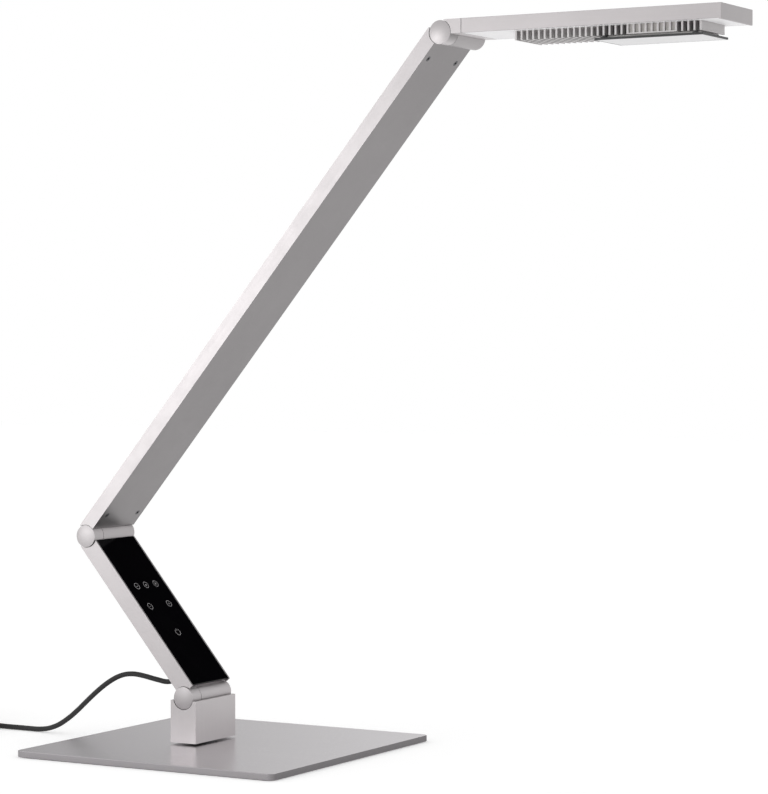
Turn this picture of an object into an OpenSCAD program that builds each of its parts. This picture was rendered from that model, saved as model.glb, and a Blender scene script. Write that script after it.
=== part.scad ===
// LED table lamp: a square base plate, a swivel post, a short control arm with a glass touch panel,
// a long upper arm and a slim head with a finned light block.
// Millimetres. The origin is the centre of the underside of the base pad, +X points toward the head,
// +Y runs along the hinge axes and +Z points up. The lamp is drawn as it stands in the photo.

/* [Base] */
// side of the square base plate
base_side = 240; // [200:1:300]
// thickness of the base plate
base_t = 5; // [4:0.5:8]
// corner radius of the base plate seen from above
base_corner_r = 5.5; // [2:0.5:10]
// thickness of the pad under the plate
pad_t = 0.6; // [0.4:0.1:1.5]
// distance of the post's middle from the middle of the plate, toward the back
post_back = 22; // [0:1:40]

/* [Post] */
// size of the post along X
post_x = 24; // [22:0.5:32]
// size of the post along Y
post_y = 58; // [56:1:66]
// height of the top of the post above the floor
post_top_z = 41; // [36:0.5:60]
// shadow gap between plate and post, filled by the glide ring
swivel_gap = 1.5; // [1:0.1:3]
// diameter of the swivel spindle
spindle_d = 12; // [10:0.5:14]
// height of the lower hinge axis above the top of the post
axis_above_post = 2; // [1:0.25:4]

/* [Hinges] */
// diameter of the hinge barrels
barrel_d = 18; // [16:0.5:22]
// diameter of the hinge pins
pin_d = 10; // [8:0.5:11]
// diameter of the wire way through the hinge pins
pin_bore_d = 5; // [3:0.5:6]
// length of the hinge barrels with their domed ends
barrel_len = 60; // [59:0.5:66]
// length of the short knuckle at the near end of a barrel
knuckle_len = 13.75; // [12:0.25:17]
// thickness of the friction washer in the seam
washer_t = 0.4; // [0.3:0.1:1]
// height of the dome on the near end of a barrel
dome_h = 1.2; // [0.8:0.1:2]
// thickness of the rounded cap on the far end of a barrel
cap_t = 2.2; // [1.5:0.1:3]
// gap between a barrel and the scooped end of the arm beside it
scoop_gap = 0.4; // [0.3:0.05:1]
// distance from a hinge axis to the flat end of an arm
end_short = 3; // [2:0.25:5]

/* [Lower arm] */
// width of the lower arm along the hinge axes
low_w = 55; // [52:0.5:57]
// distance between the lower and the middle hinge along the lower arm
low_len = 158; // [150:1:200]
// distance of the middle hinge axis in front of the lower one
low_offset = 8; // [7:0.25:9]
// distance from the lower hinge axis back to the arm's back face
low_back = 2.2; // [2:0.1:3]
// thickness of the lower arm
low_t = 15; // [14.5:0.25:17]
// lean of the lower arm back from upright
low_lean = 40; // [20:1:50]
// thickness of the glass touch panel
glass_t = 2; // [1.5:0.25:3]
// height of the cord outlet up the lower arm
outlet_up = 27; // [25:0.5:28]
// distance of the cord outlet from the arm's middle
outlet_y = 7; // [-7:0.5:7]

/* [Upper arm] */
// distance between the middle and the head hinge
up_len = 512; // [450:1:600]
// width of the upper arm along the hinge axes
up_w = 58; // [56:0.5:59]
// distance from the hinge axes to the arm's outer face
up_outer = 10; // [9.5:0.1:11]
// thickness of the upper arm
up_t = 11.5; // [11:0.25:13]
// lean of the upper arm forward from upright
up_lean = 40; // [20:1:60]
// wall thickness of the arm profiles
wall = 1.5; // [1.2:0.1:2]

/* [Head] */
// width of the head along the hinge axis
head_w = 58; // [56:0.5:66]
// length of the head from the hinge axis to its end
head_len = 229; // [200:1:300]
// height of the head's top above the hinge axis
head_up = 9.5; // [9.3:0.1:11]
// distance of the head's underside below the hinge axis
head_down = 1.5; // [1:0.1:2.5]
// how far the end wall reaches below the underside
end_drop = 0.5; // [0:0.25:3]
// distance from the hinge axis to the seam behind the neck
neck_len = 18; // [16:0.5:24]
// distance from the hinge axis to the start of the finned block
sink_x0 = 59.5; // [56:0.5:66]
// distance from the end of the finned block to the end of the head
sink_end_gap = 18.6; // [16:0.1:22]
// number of slots in the finned block
slot_count = 31; // [27:1:33]
// share of the pitch that a slot takes
slot_share = 0.69; // [0.5:0.01:0.75]
// width of the finned block
sink_w = 42; // [38:0.5:45]
// depth of the finned block below the underside
sink_h = 7.1; // [6:0.1:9]
// length of the light plate
light_len = 86.5; // [80:0.5:92]
// width of the light plate
light_w = 45.5; // [44:0.5:47]
// thickness of the light plate
light_t = 1.6; // [1.2:0.1:2.5]

/* [Cord] */
// diameter of the cord
cord_d = 4.2; // [4.2:0.1:4.4]
// free space between the turns of the coiled cord
coil_gap = 0.5; // [0.45:0.05:0.6]

/* [Hidden] */
$fn = 64;
// radial running clearance of pins and spindle
run_gap = 0.05;
// small play between faces that slide on each other
play = 0.1;
// fit of a tongue in its pocket
slip = 0.05;
// how far a cutter reaches past the face that it opens
over = 1;
plate_z0 = pad_t;
plate_z1 = pad_t + base_t;
post_z0 = plate_z1 + swivel_gap;
post_pos = [-post_back, 0, 0];
low_axis_z = post_top_z + axis_above_post;
H1 = [-post_back, 0, low_axis_z];
H2 = H1 + low_len * [-sin(low_lean), 0, cos(low_lean)] + low_offset * [cos(low_lean), 0, sin(low_lean)];
H3 = H2 + up_len * [sin(up_lean), 0, cos(up_lean)];
barrel_r = barrel_d / 2;
scoop_r = barrel_r + scoop_gap;
pin_r = pin_d / 2;
// hexagon drive of the screws: depth and size against the shank
drive_deep = 0.8;
drive_share = 0.75;
// positions along the barrels, measured on Y
near_y = -barrel_len / 2;
seam_y0 = near_y + knuckle_len;
seam_y1 = seam_y0 + washer_t + play;
far_short = 0.3;
far_y = barrel_len / 2 - far_short;
sleeve_y1 = far_y - cap_t;
nut_pocket = 8;
nut_seat_y = sleeve_y1 - nut_pocket;
nut_pocket_r = barrel_r - 1.4;
nut_r = nut_pocket_r - 0.5;
spring_r = nut_pocket_r - 0.4;
washer_r = barrel_r - 0.5;
cap_lip = 0.8;
spring_t = 1.1;
nut_h = 4.8;
spring_y0 = nut_seat_y + play;
nut_y0 = spring_y0 + spring_t;
pin_cover = 1;
pin_past = 0.6;
pin_floor = 2;
pin_y0 = near_y + dome_h + pin_cover;
pin_y1 = nut_y0 + nut_h + pin_past;
// swivel
spindle_r = spindle_d / 2;
spindle_head_r = spindle_r + 8;
spindle_head_t = 2;
spindle_past = 1;
pad_in = 2;
glide_r = post_x / 2 - 1.5;
pocket_x = post_x - 8;
pocket_y = post_y - 10;
pocket_floor = 12;
pocket_z0 = post_z0 + pocket_floor;
swivel_spring_t = 1.2;
swivel_spring_r = pocket_x / 2 - 0.5;
swivel_nut_h = 5;
swivel_nut_r = pocket_x / 2 - 0.4;
swivel_nut_z = pocket_z0 + play + swivel_spring_t;
tongue_z0 = swivel_nut_z + swivel_nut_h + 2;
post_screw_y = [-8, 12];
post_screw_z = post_top_z - 6;
post_screw_len = 14;
post_screw_head_r = 3.6;
post_screw_r = 2;
// lower arm in its own frame: axis at 0, +X front, +Z up the arm
low_front = low_t - low_back;
low_in0 = wall + 0.5 - low_back;
low_in1 = low_front - glass_t;
low_end = low_len - end_short;
low_in_y = low_w / 2 - wall;
// the feet that tie the knuckles to their arms start behind the side walls
foot_y0 = -low_in_y;
// the lower knuckle: a foot under its barrel, a block across the arm and two prongs up the arm
low_foot_z = 12;
low_foot_x = barrel_r - 0.5;
low_block_z0 = 6;
low_block_z = 16;
prong_z0 = low_block_z - 1;
prong_z1 = 34;
prong_t = 6.2;
prong_in_y = 13;
low_screw_z = 29;
low_screw_y = 20;
arm_screw_len = 7;
arm_screw_head_r = 2.6;
arm_screw_r = 1.5;
elbow_block_z = low_len - 32;
elbow_screw_z = low_len - 24;
elbow_foot_z = low_len - 14;
elbow_foot_gap = 0.3;
elbow_side_z = low_end - 6;
elbow_way = [2, 7];
elbow_way_y = 4;
elbow_way_z = 12;
glass_up = 0.8;
// boards in the lower arm
board_t = 1.6;
touch_y = low_in_y - 2;
touch_z0 = prong_z1 + 2;
touch_z1 = elbow_block_z - 2;
driver_x0 = 2.5;
driver_x1 = driver_x0 + board_t;
driver_y = low_in_y - 6;
driver_z0 = prong_z1 + 10;
driver_z1 = elbow_block_z - 6;
spacer_r = 2.5;
spacer_in = 6;
spacer_y = driver_y - 4;
part_sink = 0.1;
big_can = [-9, 4.4, 5];
small_can = [9, 4.4, 4];
can_up = 18;
choke = [16, 3.6, 14];
choke_at = [-14, 32];
chip = [10, 2.2, 22];
chip_at = [6, 34];
// upper arm in its own frame: axis at 0, -X outer face, +Z up the arm
up_inner = up_t - up_outer;
up_in0 = wall - up_outer;
up_in1 = up_inner - wall;
up_in_y = up_w / 2 - wall;
up_block = 34;
up_foot = 12;
up_screw_z = 23.5;
up_screw_y = up_w / 2 - 7.5;
up_screw_len = 6;
up_screw_head_r = 2.4;
up_screw_r = 1.4;
wire_w = 6;
wire_t = 1.6;
// head in its own frame: axis at 0, +X toward the end, +Z up
sink_x1 = head_len - sink_end_gap;
fin_pitch = (sink_x1 - sink_x0) / (slot_count + 1 - slot_share);
fin_slot = slot_share * fin_pitch;
fin_rib = fin_pitch - fin_slot;
sink_z1 = -head_down;
sink_z0 = -head_down - sink_h;
head_in_top = head_up - wall;
cover_t = 1.2;
flange_z = cover_t - head_down;
flange_t = 2;
sink_floor = 0.9;
flange_x = 6;
flange_y = head_w / 2 - wall - 1;
stand_x = 8;
stand_y = 16;
light_past = 2.1;
light_gap = 1.8;
light_x1 = sink_x1 + light_past;
light_x0 = light_x1 - light_len;
light_z1 = sink_z0 - light_gap;
light_z0 = light_z1 - light_t;
frame_rim = 1;
frame_post_r = 2;
frame_post_y = sink_w / 2 - 2.5;
// the posts stand under the ribs next to these distances from the plate's ends
frame_post_in = [3, 5];
frame_post_x = [
    rib_x(ceil((light_x0 + frame_post_in[0] - rib_x(0)) / fin_pitch)),
    rib_x(floor((light_x1 - frame_post_in[1] - rib_x(0)) / fin_pitch))
];
frame_arm = 2;
frame_arm_t = 0.5;
led_pcb_t = 1;
led_pcb_in = 6;
led_pcb_y = 15;
led_count = 12;
led_side = 3;
led_h = 0.6;
led_row_y = 8;
led_x0 = light_x0 + led_pcb_in + led_side;
led_step = (light_len - 2 * led_pcb_in - 3 * led_side) / (led_count - 1);
// the module lies between the middles of two ribs
module_rib0 = 19;
module_rib1 = 27;
module_x0 = rib_x(module_rib0);
module_x1 = rib_x(module_rib1);
module_side = 2.5;
module_y = sink_w / 2 - module_side;
end_wall = 2;
neck_gap = 0.3;
neck_foot = 10;
tongue_y = head_w / 2 - wall - 2;
tongue_x1 = neck_len + 26;
tongue_head_z0 = 2;
neck_screw_x = neck_len + 16;
neck_screw_y = 15;
neck_screw_z = 0.2;
neck_screw_r = 1.5;
neck_screw_head_r = 2.75;
neck_screw_head_h = 1.8;
neck_screw_in = 0.8;
// cord
cord_r = cord_d / 2;
relief_tip = 11;
relief_floor = 6;
relief_bore = cord_r + 0.4;
relief_r0 = 4.4;
relief_r1 = 3.4;
relief_hole_r = 4;
relief_flange_r = 5.5;
relief_flange_t = 1.5;
relief_groove = 1;
relief_groove_r = 3.3;
relief_grooves = [3.5, 6, 8.5];
outlet = H1 + outlet_up * [-sin(low_lean), 0, cos(low_lean)] + [0, outlet_y, 0];
out_dir = [-cos(low_lean), 0, -sin(low_lean)];
cord_in = outlet + (low_back + relief_floor) * out_dir;
cord_tip = outlet + (low_back + relief_tip + 1) * out_dir;
coil_pitch = cord_d + coil_gap;
// the tie passes under the first layer
coil_lift = 1.2;
coil_z = cord_r + coil_lift;
coil_out_r = 29;
coil_y = 5;
coil_c = [-264, coil_y - coil_out_r];
spiral_turns = 2.125;
climb_turns = 0.5;
coil_in_r = coil_out_r - spiral_turns * coil_pitch;
coil_top_z = coil_z + 3 * coil_pitch;
coil_turns = 4 * spiral_turns + 3 * climb_turns;
coil_steps = 24;
plug_x1 = coil_c[0] - 34;
plug_len = 62;
plug_y = 44;
plug_corner_r = 5;
plug_seam = 0.6;
plug_seam_x = 8;
plug_seam_deep = 0.5;
plug_relief_r0 = 5;
plug_relief_r1 = 3;
plug_pin_len = 18;
plug_pin_r = 2;
plug_pin_y = 9.5;
tie_a = 200;
tie_w = 8;
tie_t = 0.8;
tie_gap = 1.4;
tie_under = 0.1;
tie_over = 0.3;
// points of the hanging and lying lead, from the outlet to the coil
lead_path = concat(
    [cord_in, cord_tip],
    [
        [-54.4, outlet_y, 51.9], [-59.1, outlet_y, 50.3], [-64, outlet_y, 49.95], [-69.5, outlet_y, 50.75],
        [-75.5, outlet_y, 51.7], [-81.5, outlet_y, 52.8], [-87.5, outlet_y, 53.7], [-94, outlet_y, 54.3],
        [-103, 6.9, 53.55], [-112, 6.7, 50.5], [-122, 6.4, 44.75],
        [-132, 6, 37.2], [-142, 5.6, 28.6], [-151, 5.3, 20.6], [-160, 5.1, 13.6], [-170, 5, 7.5],
        [-180, 5, 3.85], [-190, 5, 2.35], [-202, 5, 2.2], [-214, 5, 2.2], [-226, 5, 2.2],
        [-238, 5, 2.6], [-250, coil_y, coil_z]
    ],
    [[coil_c[0] + cord_d, coil_y, coil_z]]
);

// helpers

// box given by its two corners
module box(a, b) {
    translate(a) cube(b - a);
}

// cylinder along Y
module ycyl(y0, y1, r) {
    translate([0, y0, 0]) rotate([-90, 0, 0]) cylinder(h = y1 - y0, r = r);
}

// cylinder along X
module xcyl(x0, x1, r) {
    translate([x0, 0, 0]) rotate([0, 90, 0]) cylinder(h = x1 - x0, r = r);
}

// square with round corners, from exact shapes
module round_square(w, d, r) {
    square([w - 2 * r, d], center = true);
    square([w, d - 2 * r], center = true);
    for (sx = [-1, 1], sy = [-1, 1])
        translate([sx * (w / 2 - r), sy * (d / 2 - r)]) circle(r = r);
}

// frames of the moving groups, as they stand in the photo
module in_low() {
    translate(H1) rotate([0, -low_lean, 0]) children();
}

module in_up() {
    translate(H2) rotate([0, up_lean, 0]) children();
}

module in_head() {
    translate(H3) children();
}

// hinge pieces in the frame of their own axis

module knuckle_barrel() {
    ycyl(near_y + dome_h, seam_y0, barrel_r);
    dome(near_y, dome_h, 1);
}

// shallow dome of height h on the barrel's end, side 1 toward -Y, side -1 toward +Y
module dome(y, h, side) {
    rs = (barrel_r * barrel_r + h * h) / (2 * h);
    intersection() {
        translate([0, y + side * rs, 0]) sphere(r = rs, $fn = 96);
        ycyl(side > 0 ? y : y - h, side > 0 ? y + h : y, barrel_r);
    }
}

module pin_hole() {
    ycyl(pin_y0, seam_y0 + over, pin_r);
}

module sleeve_bores() {
    ycyl(seam_y1 - over, sleeve_y1 + over, pin_r + run_gap);
    ycyl(nut_seat_y, sleeve_y1 + over, nut_pocket_r);
}

module hinge_pin() {
    difference() {
        ycyl(pin_y0, pin_y1, pin_r);
        ycyl(pin_y0 + pin_floor, pin_y1 + over, pin_bore_d / 2);
    }
}

module hinge_washer() {
    difference() {
        ycyl(seam_y0, seam_y0 + washer_t, washer_r);
        ycyl(seam_y0 - over, seam_y0 + washer_t + over, pin_r);
    }
}

module hinge_spring() {
    difference() {
        ycyl(spring_y0, nut_y0, spring_r);
        ycyl(spring_y0 - over, nut_y0 + over, pin_r);
    }
}

module hinge_nut() {
    difference() {
        translate([0, nut_y0, 0]) rotate([-90, 0, 0]) cylinder(h = nut_h, r = nut_r, $fn = 6);
        ycyl(nut_y0 - over, nut_y0 + nut_h + over, pin_r);
    }
}

module hinge_cap() {
    dome(far_y, cap_t, -1);
    ycyl(sleeve_y1 - cap_lip, sleeve_y1, nut_pocket_r);
}

module scoop(r = scoop_r) {
    ycyl(-head_w, head_w, r);
}

// small countersunk screw along +Z, its flat head at z = 0
module screw(len, head_r, shank_r) {
    difference() {
        union() {
            cylinder(h = head_r - shank_r, r1 = head_r, r2 = shank_r);
            cylinder(h = len, r = shank_r);
        }
        translate([0, 0, -over]) cylinder(h = over + drive_deep, r = shank_r * drive_share, $fn = 6);
    }
}

// the same screw as a cutter
module screw_hole(len, head_r, shank_r) {
    cylinder(h = head_r - shank_r, r1 = head_r, r2 = shank_r);
    translate([0, 0, -over]) cylinder(h = over + 0.001, r = head_r);
    cylinder(h = len, r = shank_r);
}

// swept tube along points, with rings of n sides and flat ends
function unit(v) = v / norm(v);
function tangent(p, i) = unit(p[min(i + 1, len(p) - 1)] - p[max(i - 1, 0)]);
function ring(c, t, ref, r, n) =
    let (u = unit(cross(ref, t)), v = cross(t, u))
    [for (k = [0 : n - 1]) c + r * (cos(360 * k / n) * u + sin(360 * k / n) * v)];

module tube(p, ref, r, n) {
    m = len(p);
    pts = [for (i = [0 : m - 1]) each ring(p[i], tangent(p, i), ref, r, n)];
    sides = [
        for (i = [0 : m - 2], k = [0 : n - 1])
            each [
                [i * n + k, (i + 1) * n + k, (i + 1) * n + (k + 1) % n],
                [i * n + k, (i + 1) * n + (k + 1) % n, i * n + (k + 1) % n]
            ]
    ];
    start = [[for (k = [0 : n - 1]) k]];
    end = [[for (k = [n - 1 : -1 : 0]) (m - 1) * n + k]];
    polyhedron(points = pts, faces = concat(sides, start, end));
}

// base

module base_plate() {
    color([0.62, 0.62, 0.63]) difference() {
        translate([0, 0, plate_z0])
            linear_extrude(base_t) round_square(base_side, base_side, base_corner_r);
        translate(post_pos) {
            cylinder(h = plate_z1 + over, r = spindle_r);
            cylinder(h = plate_z0 + spindle_head_t, r = spindle_head_r);
        }
    }
}

module base_pad() {
    pad_side = base_side - 2 * pad_in;
    color([0.10, 0.10, 0.10]) linear_extrude(pad_t) round_square(pad_side, pad_side, base_corner_r);
}

module swivel_spindle() {
    color([0.55, 0.55, 0.56]) translate(post_pos) {
        translate([0, 0, plate_z0]) cylinder(h = spindle_head_t, r = spindle_head_r);
        translate([0, 0, plate_z0])
            cylinder(h = swivel_nut_z + swivel_nut_h + spindle_past - plate_z0, r = spindle_r);
    }
}

module swivel_glide() {
    color([0.12, 0.12, 0.12]) translate(post_pos) difference() {
        translate([0, 0, plate_z1]) cylinder(h = swivel_gap - play, r = glide_r);
        cylinder(h = post_top_z, r = spindle_r);
    }
}

module swivel_spring() {
    color([0.4, 0.4, 0.4]) translate(post_pos) difference() {
        translate([0, 0, pocket_z0 + play]) cylinder(h = swivel_spring_t, r = swivel_spring_r);
        cylinder(h = post_top_z, r = spindle_r);
    }
}

module swivel_nut() {
    color([0.5, 0.5, 0.5]) translate(post_pos) difference() {
        translate([0, 0, swivel_nut_z]) cylinder(h = swivel_nut_h, r = swivel_nut_r, $fn = 6);
        cylinder(h = post_top_z, r = spindle_r);
    }
}

// post

module post_block() {
    color([0.78, 0.78, 0.79]) difference() {
        translate(post_pos)
            box([-post_x / 2, -post_y / 2, post_z0], [post_x / 2, post_y / 2, post_top_z]);
        translate(H1) scoop();
        translate(post_pos)
            box([-pocket_x / 2, -pocket_y / 2, pocket_z0], [pocket_x / 2, pocket_y / 2, post_top_z + over]);
        translate(post_pos) cylinder(h = post_top_z, r = spindle_r + run_gap);
        at_post_screws() screw_hole(post_screw_len, post_screw_head_r, post_screw_r);
    }
}

module at_post_screws() {
    for (y = post_screw_y)
        translate(post_pos + [-post_x / 2, y, post_screw_z]) rotate([0, 90, 0]) children();
}

module post_screws() {
    color([0.45, 0.45, 0.46]) at_post_screws() screw(post_screw_len, post_screw_head_r, post_screw_r);
}

module low_sleeve() {
    color([0.74, 0.74, 0.75]) difference() {
        union() {
            translate(H1) ycyl(seam_y1, sleeve_y1, barrel_r);
            translate(post_pos)
                box([slip - pocket_x / 2, seam_y1, tongue_z0],
                    [pocket_x / 2 - slip, pocket_y / 2 - slip, low_axis_z]);
        }
        translate(H1) sleeve_bores();
        at_post_screws() cylinder(h = post_screw_len, r = post_screw_r);
    }
}

module low_cap() {
    color([0.74, 0.74, 0.75]) translate(H1) hinge_cap();
}

// lower arm

module low_knuckle() {
    color([0.74, 0.74, 0.75]) in_low() difference() {
        union() {
            knuckle_barrel();
            box([low_in0 + slip, foot_y0, 0], [low_foot_x, seam_y0, low_foot_z]);
            difference() {
                box([low_in0, slip - low_in_y, low_block_z0], [low_in1, low_in_y - slip, low_block_z]);
                scoop();
            }
            for (s = [-1, 1])
                box([low_in0, s > 0 ? prong_in_y : slip - low_in_y, prong_z0],
                    [low_in0 + prong_t, s > 0 ? low_in_y - slip : -prong_in_y, prong_z1]);
        }
        pin_hole();
        at_arm_screws() cylinder(h = arm_screw_len, r = arm_screw_r);
    }
}

module low_pin() {
    color([0.5, 0.5, 0.51]) in_low() hinge_pin();
}

module low_washer() {
    color([0.15, 0.15, 0.15]) in_low() hinge_washer();
}

module low_spring() {
    color([0.4, 0.4, 0.4]) in_low() hinge_spring();
}

module low_nut() {
    color([0.5, 0.5, 0.5]) in_low() hinge_nut();
}

module arm_shell() {
    color([0.78, 0.78, 0.79]) in_low() difference() {
        box([-low_back, -low_w / 2, end_short], [low_front, low_w / 2, low_end]);
        box([low_in0, -low_in_y, -over], [low_front + over, low_in_y, low_len + over]);
        scoop();
        translate([low_offset, 0, low_len]) scoop();
        translate([0, outlet_y, outlet_up]) xcyl(-low_back - over, low_in0 + over, relief_hole_r);
        at_arm_screws() screw_hole(arm_screw_len, arm_screw_head_r, arm_screw_r);
    }
}

// screws through the arm's back wall into the two knuckles
module at_arm_screws() {
    for (z = [low_screw_z, elbow_screw_z], s = [-1, 1])
        translate([-low_back, s * low_screw_y, z]) rotate([0, 90, 0]) children();
}

module arm_screws() {
    color([0.45, 0.45, 0.46]) in_low() at_arm_screws() screw(arm_screw_len, arm_screw_head_r, arm_screw_r);
}

module control_glass() {
    color([0.03, 0.03, 0.03]) in_low() difference() {
        box([low_in1, slip - low_in_y, end_short + glass_up], [low_front, low_in_y - slip, low_end]);
        scoop();
        translate([low_offset, 0, low_len]) scoop();
    }
}

module touch_board() {
    color([0.05, 0.20, 0.12]) in_low()
        box([low_in1 - board_t, -touch_y, touch_z0], [low_in1, touch_y, touch_z1]);
}

module driver_board() {
    color([0.05, 0.25, 0.15]) in_low() {
        box([driver_x0, -driver_y, driver_z0], [driver_x1, driver_y, driver_z1]);
        for (y = [-spacer_y, spacer_y], z = [driver_z0 + spacer_in, driver_z1 - spacer_in])
            translate([0, y, z]) xcyl(low_in0, driver_x0 + part_sink, spacer_r);
        for (can = [big_can, small_can])
            translate([driver_x1 - part_sink, can[0], driver_z0 + can_up]) xcyl(0, can[1], can[2]);
        on_driver(choke_at, choke);
        on_driver(chip_at, chip);
    }
}

// a square component on the driver board: place along Y and Z, size along Y, X and Z
module on_driver(at, size) {
    box([driver_x1 - part_sink, at[0], driver_z0 + at[1]],
        [driver_x1 - part_sink + size[1], at[0] + size[0], driver_z0 + at[1] + size[2]]);
}

module cord_relief() {
    color([0.10, 0.10, 0.10]) in_low() translate([0, outlet_y, outlet_up]) difference() {
        union() {
            xcyl(low_in0, low_in0 + relief_flange_t, relief_flange_r);
            xcyl(-low_back - over, low_in0 + relief_flange_t, relief_hole_r);
            translate([-low_back, 0, 0])
                rotate([0, -90, 0]) cylinder(h = relief_tip, r1 = relief_r0, r2 = relief_r1);
        }
        xcyl(-low_back - relief_tip - over, -low_back - relief_floor, relief_bore);
        for (x = relief_grooves)
            translate([-low_back - x, 0, 0]) difference() {
                xcyl(-relief_groove / 2, relief_groove / 2, relief_flange_r);
                xcyl(-relief_groove, relief_groove, relief_groove_r);
            }
    }
}

module elbow_knuckle() {
    color([0.74, 0.74, 0.75]) in_low() difference() {
        union() {
            translate([low_offset, 0, low_len]) knuckle_barrel();
            box([low_in0, foot_y0, elbow_foot_z], [low_in1 - elbow_foot_gap, seam_y0, low_len]);
            difference() {
                box([low_in0, slip - low_in_y, elbow_block_z], [low_in1, low_in_y - slip, low_end]);
                translate([low_offset, 0, low_len]) scoop();
            }
        }
        translate([low_offset, 0, low_len]) pin_hole();
        box([-barrel_d, near_y - over, elbow_block_z - over], [low_in1, slip - low_in_y, elbow_side_z]);
        at_arm_screws() cylinder(h = arm_screw_len, r = arm_screw_r);
        box([low_in0 + elbow_way[0], -elbow_way_y, elbow_block_z - over],
            [low_in0 + elbow_way[1], elbow_way_y, elbow_block_z + elbow_way_z]);
    }
}

module in_elbow() {
    in_low() translate([low_offset, 0, low_len]) children();
}

module elbow_pin() {
    color([0.5, 0.5, 0.51]) in_elbow() hinge_pin();
}

module elbow_washer() {
    color([0.15, 0.15, 0.15]) in_elbow() hinge_washer();
}

module elbow_spring() {
    color([0.4, 0.4, 0.4]) in_elbow() hinge_spring();
}

module elbow_nut() {
    color([0.5, 0.5, 0.5]) in_elbow() hinge_nut();
}

// upper arm

module upper_tube() {
    color([0.70, 0.70, 0.71]) in_up() difference() {
        box([-up_outer, -up_w / 2, end_short], [up_inner, up_w / 2, up_len - end_short]);
        box([up_in0, -up_in_y, -over], [up_in1, up_in_y, up_len + over]);
        scoop();
        translate([0, 0, up_len]) scoop();
        at_tube_screws() screw_hole(up_screw_len, up_screw_head_r, up_screw_r);
    }
}

module at_tube_screws() {
    for (z = [up_screw_z, up_len - up_screw_z], s = [-1, 1])
        translate([up_inner, s * up_screw_y, z]) rotate([0, -90, 0]) children();
}

module tube_screws() {
    color([0.45, 0.45, 0.46]) in_up() at_tube_screws() screw(up_screw_len, up_screw_head_r, up_screw_r);
}

// sleeve with the block that fills the tube's end, dir 1 at the elbow and -1 at the head
module arm_sleeve(z, dir) {
    difference() {
        union() {
            translate([0, 0, z]) ycyl(seam_y1, sleeve_y1, barrel_r);
            box([up_in0, seam_y1, dir > 0 ? z : z - up_foot],
                [up_in1, up_in_y - slip, dir > 0 ? z + up_foot : z]);
            difference() {
                box([up_in0, slip - up_in_y, dir > 0 ? z + end_short : z - up_block],
                    [up_in1, up_in_y - slip, dir > 0 ? z + up_block : z - end_short]);
                translate([0, 0, z]) scoop();
            }
        }
        translate([0, 0, z]) sleeve_bores();
        at_tube_screws() cylinder(h = up_screw_len, r = up_screw_r);
    }
}

module elbow_sleeve() {
    color([0.74, 0.74, 0.75]) in_up() arm_sleeve(0, 1);
}

module elbow_cap() {
    color([0.74, 0.74, 0.75]) in_up() hinge_cap();
}

module head_sleeve() {
    color([0.74, 0.74, 0.75]) in_up() arm_sleeve(up_len, -1);
}

module head_cap() {
    color([0.74, 0.74, 0.75]) in_up() translate([0, 0, up_len]) hinge_cap();
}

module arm_wire() {
    color([0.10, 0.10, 0.10]) in_up()
        box([up_in0, -wire_w / 2, up_block], [up_in0 + wire_t, wire_w / 2, up_len - up_block]);
}

// head

module head_neck() {
    color([0.76, 0.76, 0.77]) in_head() difference() {
        union() {
            knuckle_barrel();
            box([0, foot_y0, -head_down], [neck_foot, seam_y0, low_foot_x]);
            difference() {
                box([end_short, -head_w / 2, -head_down], [neck_len, head_w / 2, head_up]);
                scoop();
            }
            box([neck_len - over, -tongue_y, tongue_head_z0], [tongue_x1, tongue_y, head_in_top]);
        }
        pin_hole();
        at_neck_screws() cylinder(h = head_in_top, r = neck_screw_r);
    }
}

module at_neck_screws() {
    for (s = [-1, 1])
        translate([neck_screw_x, s * neck_screw_y, neck_screw_z]) children();
}

module neck_screws() {
    color([0.45, 0.45, 0.46]) in_head() at_neck_screws() {
        cylinder(h = neck_screw_head_h, r = neck_screw_head_r);
        cylinder(h = head_in_top + neck_screw_in - neck_screw_z, r = neck_screw_r);
    }
}

module head_pin() {
    color([0.5, 0.5, 0.51]) in_head() hinge_pin();
}

module head_washer() {
    color([0.15, 0.15, 0.15]) in_head() hinge_washer();
}

module head_spring() {
    color([0.4, 0.4, 0.4]) in_head() hinge_spring();
}

module head_nut() {
    color([0.5, 0.5, 0.5]) in_head() hinge_nut();
}

module head_housing() {
    color([0.76, 0.76, 0.77]) in_head() difference() {
        union() {
            box([neck_len + neck_gap, -head_w / 2, -head_down], [head_len, head_w / 2, head_up]);
            box([head_len - end_wall, -head_w / 2, -head_down - end_drop], [head_len, head_w / 2, head_up]);
        }
        box([neck_len - over, wall - head_w / 2, -head_down - over],
            [head_len - end_wall, head_w / 2 - wall, head_in_top]);
        at_neck_screws() cylinder(h = head_in_top + neck_screw_in - neck_screw_z, r = neck_screw_r);
    }
}

module underside_cover() {
    color([0.93, 0.93, 0.93]) in_head() difference() {
        box([neck_len + neck_gap, wall - head_w / 2, -head_down],
            [head_len - end_wall, head_w / 2 - wall, flange_z]);
        box([sink_x0, -sink_w / 2, -head_down - over], [sink_x1, sink_w / 2, flange_z + over]);
    }
}

// middle of a rib of the finned block
function rib_x(i) = sink_x0 + fin_rib / 2 + i * fin_pitch;

// lower end of a slot: open below, apart from the slots in front of the module
function slot_z0(i) = i >= module_rib0 && i < module_rib1 ? sink_z0 + sink_floor : sink_z0 - over;

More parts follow.
